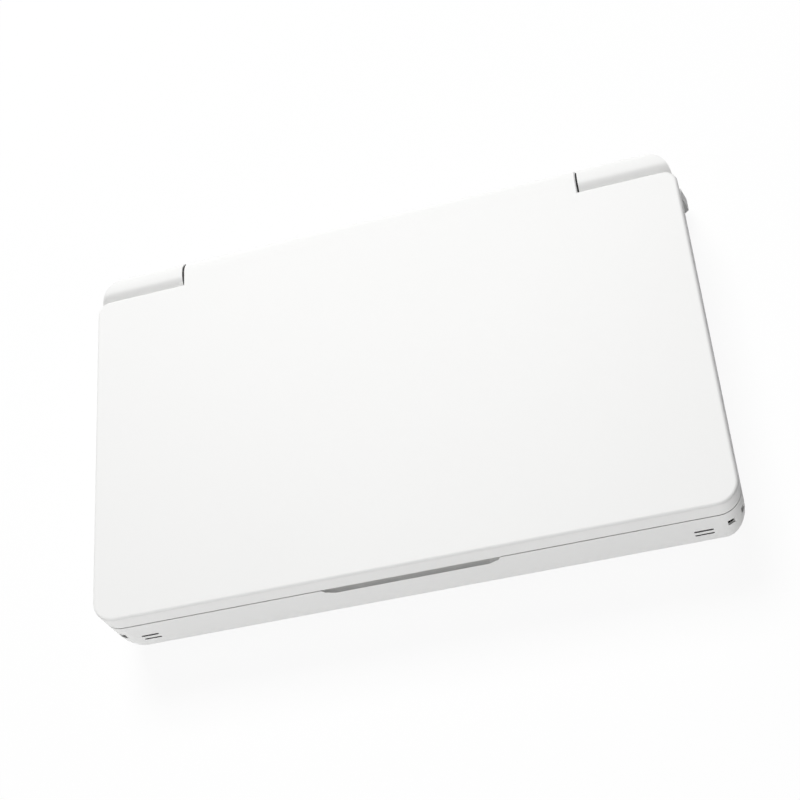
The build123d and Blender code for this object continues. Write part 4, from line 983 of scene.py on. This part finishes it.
@dataclass
class Underside:
    """Feet, screws and back buttons under the base.

    The feet's and the buttons' profiles give each ring's inset and its height over the lowest
    point of the piece.
    """

    nodes: Nodes
    foot_profile_mm: Profile = ((0.5, 0.0), (0.15, 0.15), (0.0, 0.5))
    screw_facets: int = 48
    screw_head_mm: float = 0.9
    screw_edge_mm: float = 0.2
    screw_socket_mm: float = 1.5
    screw_socket_depth_mm: float = 0.6
    screw_shank_radius_mm: float = 0.88
    button_profile_mm: Profile = ((1.6, 0.0), (0.9, 0.04), (0.4, 0.18), (0.12, 0.42), (0.0, 0.7))
    button_flange_mm: float = 0.6
    button_flange_thickness_mm: float = 0.7

    def feet(self) -> None:
        """Builds the four feet as one piece."""
        form = Form()
        for box in separate_boxes(self.nodes["rubber_feet"]):
            outline = pill(box.size.x, box.size.y)
            rings = inset_rings(outline, self.foot_profile_mm, box.low.z)
            form.stack([*rings, (outline(0.0), box.high.z)], box.plan)
        form.piece("rubber_feet_pads", SILICONE, "base", Slot.RUBBER, ("rubber_feet",))

    def hexagon(self) -> list[Point]:
        """Draws the screws' six-sided socket.

        Returns:
            The outline's points, as many as the screws' rings have.
        """
        points = []
        for index in range(self.screw_facets):
            angle = 2 * math.pi * index / self.screw_facets
            off_flat = (angle + math.pi / 6) % (math.pi / 3) - math.pi / 6
            points.append(polar(mm(self.screw_socket_mm) / 2 / math.cos(off_flat), angle))
        return points

    def screws(self) -> None:
        """Builds the cover's screws, each with a six-sided socket in its head."""
        form = Form()
        hexagon, edge = self.hexagon(), mm(self.screw_edge_mm)
        shank = circle(mm(self.screw_shank_radius_mm), self.screw_facets)
        for box in separate_boxes(self.nodes["cover_screws"]):
            low, radius = box.low.z, box.size.x / 2
            head, head_top = circle(radius, self.screw_facets), low + mm(self.screw_head_mm)
            rings = [
                (hexagon, low + mm(self.screw_socket_depth_mm)),
                (hexagon, low),
                (circle(radius - edge, self.screw_facets), low),
                (head, low + edge),
                (head, head_top),
                (shank, head_top),
                (shank, box.high.z),
            ]
            form.stack(rings, box.plan)
        form.piece("cover_screw_set", ROLLED_STEEL, "base", Slot.STEEL, ("cover_screws",))

    def back_buttons(self) -> None:
        """Builds the two back buttons, each on its own body."""
        flange = mm(self.button_flange_mm)
        for side in SIDES:
            name = f"back_button_{side}"
            box = Box(*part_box(name))
            flange_low = box.high.z - mm(self.button_flange_thickness_mm)
            outline = pill(box.size.x - 2 * flange, box.size.y - 2 * flange)
            rings = [
                *inset_rings(outline, self.button_profile_mm, box.low.z),
                (outline(0.0), flange_low),
                (outline(-flange), flange_low),
                (outline(-flange), box.high.z),
            ]
            form = Form()
            form.stack(rings, box.plan)
            form.piece(f"{name}_cap", BUTTON_POLYCARBONATE, name, Slot.BUTTON_PLASTIC, (name,))

    def build(self) -> None:
        """Builds everything under the base."""
        self.feet()
        self.screws()
        self.back_buttons()


@dataclass(frozen=True)
class Socket:
    """A kind of flat rear socket: a drawn steel shell, open to the rear, with a tongue.

    The mouth gives each ring's inset and its height over the rear face. The hollow is an inset
    and the thickness of the wall behind it. The reach is how far the tongue stays from the
    shell's front and rear, and the span is how far inside it the contacts start and stop. The
    tongue lies over the shell's middle by its rise, and the contacts below the tongue's by their
    drop. The bar, tip and contact are a width, a height and a corner.
    """

    node: str
    names: tuple[str, str, str]
    mouth_mm: Profile
    hollow_mm: Point
    reach_mm: Point
    rise_mm: float
    bar_mm: Place
    tip_mm: Place
    tip_length_mm: float
    contact_mm: Place
    drop_mm: float
    span_mm: Point
    places_mm: tuple[float, ...]
    corner_mm: float | None = None
    corner_tighten: float = 0.9

    def shell(self, form: Form, box: Box) -> None:
        """Adds one shell, with round ends where the kind has no corner radius.

        Args:
            form: the shells' mesh.
            box: the shell's box in the frame.
        """
        size = box.size
        outline = pill(size.x, size.z)
        if self.corner_mm is not None:
            corner = mm(self.corner_mm)
            outline = easing_rectangle(size.x, size.z, corner, self.corner_tighten, steps=4)
        inset, wall = map(mm, self.hollow_mm)
        mouth = inset_rings(outline, self.mouth_mm, box.high.y)
        rings = [(outline(0.0), box.low.y), *mouth, (outline(inset), box.low.y + wall)]
        form.stack(rings, box.elevation)

    def tongue(self, tongues: Form, contacts: Form, box: Box) -> None:
        """Adds one tongue and its row of contacts.

        Args:
            tongues: the tongues' mesh.
            contacts: the contacts' mesh.
            box: the shell's box in the frame.
        """
        height, (front, rear) = box.middle.z + mm(self.rise_mm), map(mm, self.reach_mm)
        start, end = box.low.y + front, box.high.y - rear
        bar = rounded_rectangle(*map(mm, self.bar_mm), steps=3)
        tip = rounded_rectangle(*map(mm, self.tip_mm), steps=3)
        rings = [(bar, start), (bar, end - mm(self.tip_length_mm)), (tip, end)]
        tongues.stack(rings, (box.middle.x, height))
        strip = rounded_rectangle(*map(mm, self.contact_mm), steps=1)
        after, before = map(mm, self.span_mm)
        for place in self.places_mm:
            centre = (box.middle.x + mm(place), height - mm(self.drop_mm))
            contacts.stack([(strip, start + after), (strip, end - before)], centre)

    def build(self, nodes: Nodes) -> None:
        """Builds every socket of the kind as three pieces.

        Args:
            nodes: the frame's objects by node.
        """
        shells, tongues, contacts = Form(), Form(), Form()
        for box in separate_boxes(nodes[self.node]):
            self.shell(shells, box)
            self.tongue(tongues, contacts, box)
        rear = Direction.REAR
        shells.piece(self.names[0], ROLLED_STEEL, "base", Slot.STEEL, (self.node,), rear)
        tongues.piece(self.names[1], BLACK_ABS, "base", Slot.DARK_PLASTIC, direction=rear)
        contacts.piece(self.names[2], GOLD_FLASH, "base", Slot.COPPER, direction=rear)


SOCKETS = (
    Socket(
        "usb_c_ports", ("usb_c_shells", "usb_c_tongues", "usb_c_contacts"),
        mouth_mm=((0.0, -0.08), (0.09, 0.0), (0.24, 0.0), (0.3, -0.08)), hollow_mm=(0.3, 0.9),
        reach_mm=(0.85, 0.6), rise_mm=0.0, bar_mm=(6.6, 0.7, 0.1), tip_mm=(6.3, 0.5, 0.08),
        tip_length_mm=0.15, contact_mm=(0.26, 0.73, 0.03), drop_mm=0.0, span_mm=(0.35, 0.5),
        places_mm=tuple(0.5 * index - 2.75 for index in range(12)),
    ),
    Socket(
        "usb_a_port", ("usb_a_shell", "usb_a_tongue", "usb_a_contacts"),
        mouth_mm=((0.0, 0.0), (0.3, -0.12)), hollow_mm=(0.3, 1.5), corner_mm=0.6,
        reach_mm=(1.4, 2.2), rise_mm=1.35, bar_mm=(11.0, 1.8, 0.15), tip_mm=(10.6, 1.4, 0.15),
        tip_length_mm=0.3, contact_mm=(1.0, 0.12, 0.03), drop_mm=0.92, span_mm=(0.6, 0.6),
        places_mm=(-3.5, -1.0, 1.0, 3.5),
    ),
)


@dataclass
class PaintedShadeInserts:
    """Painted shade: small black pieces set where there is only shade, so that the speaker slots,
    strap passages and hinge gaps render dark.
    """

    slot_x_mm: float = 72.25
    slot_heights_mm: Point = (11.15, 13.3)
    slot_length_mm: float = 4.84
    slot_height_mm: float = 0.79
    slot_corner_share: float = 0.4
    slot_setback_mm: float = 0.15
    slot_end_mm: float = 1.45
    strap_corner_mm: float = 6.2
    strap_floor_mm: float = 13.4
    strap_height_mm: float = 2.3
    strap_post_mm: float = 2.7
    strap_channel_mm: float = 4.6
    strap_mouth_mm: float = 5.6
    strap_skin_mm: float = 0.05
    strap_angles_degrees: tuple[float, float, float, float] = (284.0, 303.0, 326.0, 345.0)
    hinge_axis_mm: Point = (48.35, 20.0)
    shade_washer_place_mm: float = 56.65
    shade_washer_faces_mm: Point = (0.12, 0.38)
    shade_washer_radii_mm: Point = (1.55, 5.5)

    def slot_shade_screens(self) -> None:
        """Paints shade: sets a black screen inside each speaker slot, back from the face, so that
        the slot renders dark.
        """
        form = Form()
        face = Box(*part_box("base_shell")).low.y
        height = mm(self.slot_height_mm)
        corner = height * self.slot_corner_share
        outline = rounded_rectangle(mm(self.slot_length_mm), height, corner, steps=3)
        front, rear = face + mm(self.slot_setback_mm), face + mm(self.slot_end_mm)
        for side in SIDES.values():
            for rise in self.slot_heights_mm:
                centre = (side * mm(self.slot_x_mm), mm(rise))
                form.stack([(outline, front), (outline, rear)], centre)
        form.piece(
            "speaker_slot_shade_screens", PAINTED_SHADE_SHEET, "base", Slot.RUBBER, direction=Direction.REAR
        )

    def strap_shade_liners(self) -> None:
        """Paints shade: lines the floor and the post of each strap passage with a thin black
        sheet, so that the passage renders dark.
        """
        form = Form()
        box = Box(*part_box("base_shell"))
        skin, floor = mm(self.strap_skin_mm), mm(self.strap_floor_mm)
        post, mouth = mm(self.strap_post_mm), mm(self.strap_mouth_mm)
        channel, roof = mm(self.strap_channel_mm), floor + mm(self.strap_height_mm)
        first, second, third, last = self.strap_angles_degrees
        sheets = (
            (post + skin, mouth, first, second, floor, floor + skin),
            (post + skin, channel - skin, second, third, floor, floor + skin),
            (post + skin, mouth, third, last, floor, floor + skin),
            (post, post + skin, first, last, floor, roof),
        )
        for side in SIDES.values():
            edge = box.high.x if side > 0 else box.low.x
            centre = (edge - side * mm(self.strap_corner_mm), box.low.y + mm(self.strap_corner_mm))
            for inner, outer, start, end, low, high in sheets:
                outline = [(side * x, y) for x, y in sector(inner, outer, start, end)]
                form.stack([(outline, low), (outline, high)], centre)
        form.piece("strap_passage_shade_liners", PAINTED_SHADE_SHEET, "base", Slot.RUBBER)

    def hinge_gap_shade_washers(self) -> None:
        """Paints shade: sets a black washer on the shaft between the barrel's ends and the
        shoulder buttons, so that the gap renders dark.
        """
        form = Form()
        hole, rim = (mm(radius) for radius in self.shade_washer_radii_mm)
        axis = tuple(mm(value) for value in self.hinge_axis_mm)
        for side in SIDES.values():
            near, far = (side * mm(self.shade_washer_place_mm + face) for face in self.shade_washer_faces_mm)
            form.turned_ring([(hole, near), (rim, near), (rim, far), (hole, far)], axis)
        form.piece("hinge_gap_shade_washers", PAINTED_SHADE_SHEET, "lid", Slot.RUBBER, direction=Direction.SIDE)

    def build(self) -> None:
        """Builds all the black pieces that paint shade into openings."""
        self.slot_shade_screens()
        self.strap_shade_liners()
        self.hinge_gap_shade_washers()


@dataclass
class FrameDress:
    """Gives every node of the frame its finish."""

    nodes: Nodes

    def build(self) -> None:
        """Sets each node's material by its real material."""
        for finish, names in FRAME_FINISHES.items():
            for name in names:
                data = self.nodes[name].data
                data.materials.clear()
                data.materials.append(finish.material())
                log.info("%s: finished as %s", name, finish.name)


@dataclass
class Studio:
    """Floor, light and camera. Places and sizes are in metres, power in watts.

    The key lamp hangs high behind the object, so that the lid's flat top is evenly bright. The
    front lamp is a low strip that lights the front face and leaves the seam and openings dark.
    """

    floor_colour: str = "#C4C4C4"
    floor_size: float = 12.0
    floor_cells: int = 8
    floor_white: float = 0.93
    floor_drop_mm: float = 0.1
    camera_place: Place = (0.0909518, -0.2318819, 0.3932930)
    camera_turn_degrees: Place = (30.38936883, 17.18293309, -3.85943108)
    lens: float = 76.32897
    shift: Point = (0.04943457, -0.02519856)
    clip: Point = (0.01, 50.0)
    sky_strength: float = 0.05
    key_place: Place = (-0.28, 1.08, 1.78)
    key_size: Point = (0.90, 0.90)
    key_power: float = 45.5
    front_place: Place = (-0.35, -1.40, 0.06)
    front_size: Point = (1.00, 0.08)
    front_power: float = 11.5

    def seen_rays(self, tree: Tree) -> Output:
        """Picks the rays that show the white ground: the camera's, mirrored and through glass.

        Args:
            tree: the node tree that asks.

        Returns:
            A value that is 1 for such a ray and 0 for one that only carries light.
        """
        path = add_node(tree, "ShaderNodeLightPath")
        seen = path.outputs["Is Camera Ray"]
        for kind in ("Is Glossy Ray", "Is Transmission Ray"):
            links = {0: seen, 1: path.outputs[kind]}
            either = add_node(tree, "ShaderNodeMath", links=links, operation="MAXIMUM")
            seen = either.outputs["Value"]
        return seen

    def floor(self) -> None:
        """Lays a plain floor that shows white to the camera and keeps the object's shadow."""
        form = bmesh.new()
        cells = self.floor_cells
        bmesh.ops.create_grid(form, x_segments=cells, y_segments=cells, size=self.floor_size / 2)
        data = bpy.data.meshes.new("floor")
        form.to_mesh(data)
        form.free()
        paper = bpy.data.materials.new("matt_white_paper_floor")
        tree = empty_tree(paper)
        seen = self.seen_rays(tree)
        colours = {"Color1": linear_colour(self.floor_colour), "Color2": linear_colour(WHITE)}
        tone = add_node(tree, "ShaderNodeMixRGB", colours, {"Fac": seen})
        matt = add_node(tree, "ShaderNodeBsdfDiffuse", links={"Color": tone.outputs["Color"]})
        glow = add_node(tree, "ShaderNodeEmission", {"Strength": 1.0})
        white = {1: self.floor_white}
        share = add_node(tree, "ShaderNodeMath", white, {0: seen}, operation="MULTIPLY")
        links = {0: share.outputs["Value"], 1: matt.outputs["BSDF"], 2: glow.outputs["Emission"]}
        mix = add_node(tree, "ShaderNodeMixShader", links=links)
        add_node(tree, "ShaderNodeOutputMaterial", links={"Surface": mix.outputs["Shader"]})
        data.materials.append(paper)
        made = add_object("floor", data)
        made.location.z = -mm(self.floor_drop_mm)
        log.info("floor laid")

    def lamp(self, name: str, place: Place, size: Point, power: float) -> None:
        """Hangs a soft oblong lamp that points at the object.

        Args:
            name: the lamp's name.
            place: where it hangs, in metres.
            size: its width and height, in metres.
            power: its power in watts.
        """
        data = bpy.data.lights.new(name, "AREA")
        data.shape = "RECTANGLE"
        data.size, data.size_y = size
        data.energy = power
        made = add_object(name, data)
        made.location = place
        made.rotation_euler = (-Vector(place)).to_track_quat("-Z", "Y").to_euler()
        log.info("%s hung", name)

    def light(self) -> None:
        """Sets the even sky and the lamps."""
        world = bpy.data.worlds.new("studio")
        tree = empty_tree(world)
        seen, colour = self.seen_rays(tree), {"Color": linear_colour(WHITE)}
        sky = add_node(tree, "ShaderNodeBackground", {**colour, "Strength": self.sky_strength})
        white = add_node(tree, "ShaderNodeBackground", {**colour, "Strength": 1.0})
        links = {0: seen, 1: sky.outputs["Background"], 2: white.outputs["Background"]}
        mix = add_node(tree, "ShaderNodeMixShader", links=links)
        add_node(tree, "ShaderNodeOutputWorld", links={"Surface": mix.outputs["Shader"]})
        bpy.context.scene.world = world
        self.lamp("key_lamp", self.key_place, self.key_size, self.key_power)
        self.lamp("front_lamp", self.front_place, self.front_size, self.front_power)

    def camera(self) -> None:
        """Sets the camera at the photograph's angle."""
        data = bpy.data.cameras.new("camera")
        data.lens = self.lens
        data.shift_x, data.shift_y = self.shift
        data.clip_start, data.clip_end = self.clip
        made = add_object("camera", data)
        made.location = self.camera_place
        made.rotation_euler = [math.radians(angle) for angle in self.camera_turn_degrees]
        bpy.context.scene.camera = made
        log.info("camera set")

    def build(self) -> None:
        """Sets the whole studio."""
        bpy.context.scene.view_settings.view_transform = "Standard"
        self.floor()
        self.light()
        self.camera()


def main() -> None:
    """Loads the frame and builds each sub-assembly in order."""
    logging.basicConfig(level=logging.INFO, format="%(name)s: %(message)s")
    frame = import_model()
    nodes = frame["nodes"]
    FrameDress(nodes).build()
    KeyCaps(nodes).build()
    RoundButtons().build()
    ThumbSticks().build()
    CrossPad().build()
    Underside(nodes).build()
    for socket in SOCKETS:
        socket.build(nodes)
    PaintedShadeInserts().build()
    Studio().build()


if __name__ == "__main__":
    main()
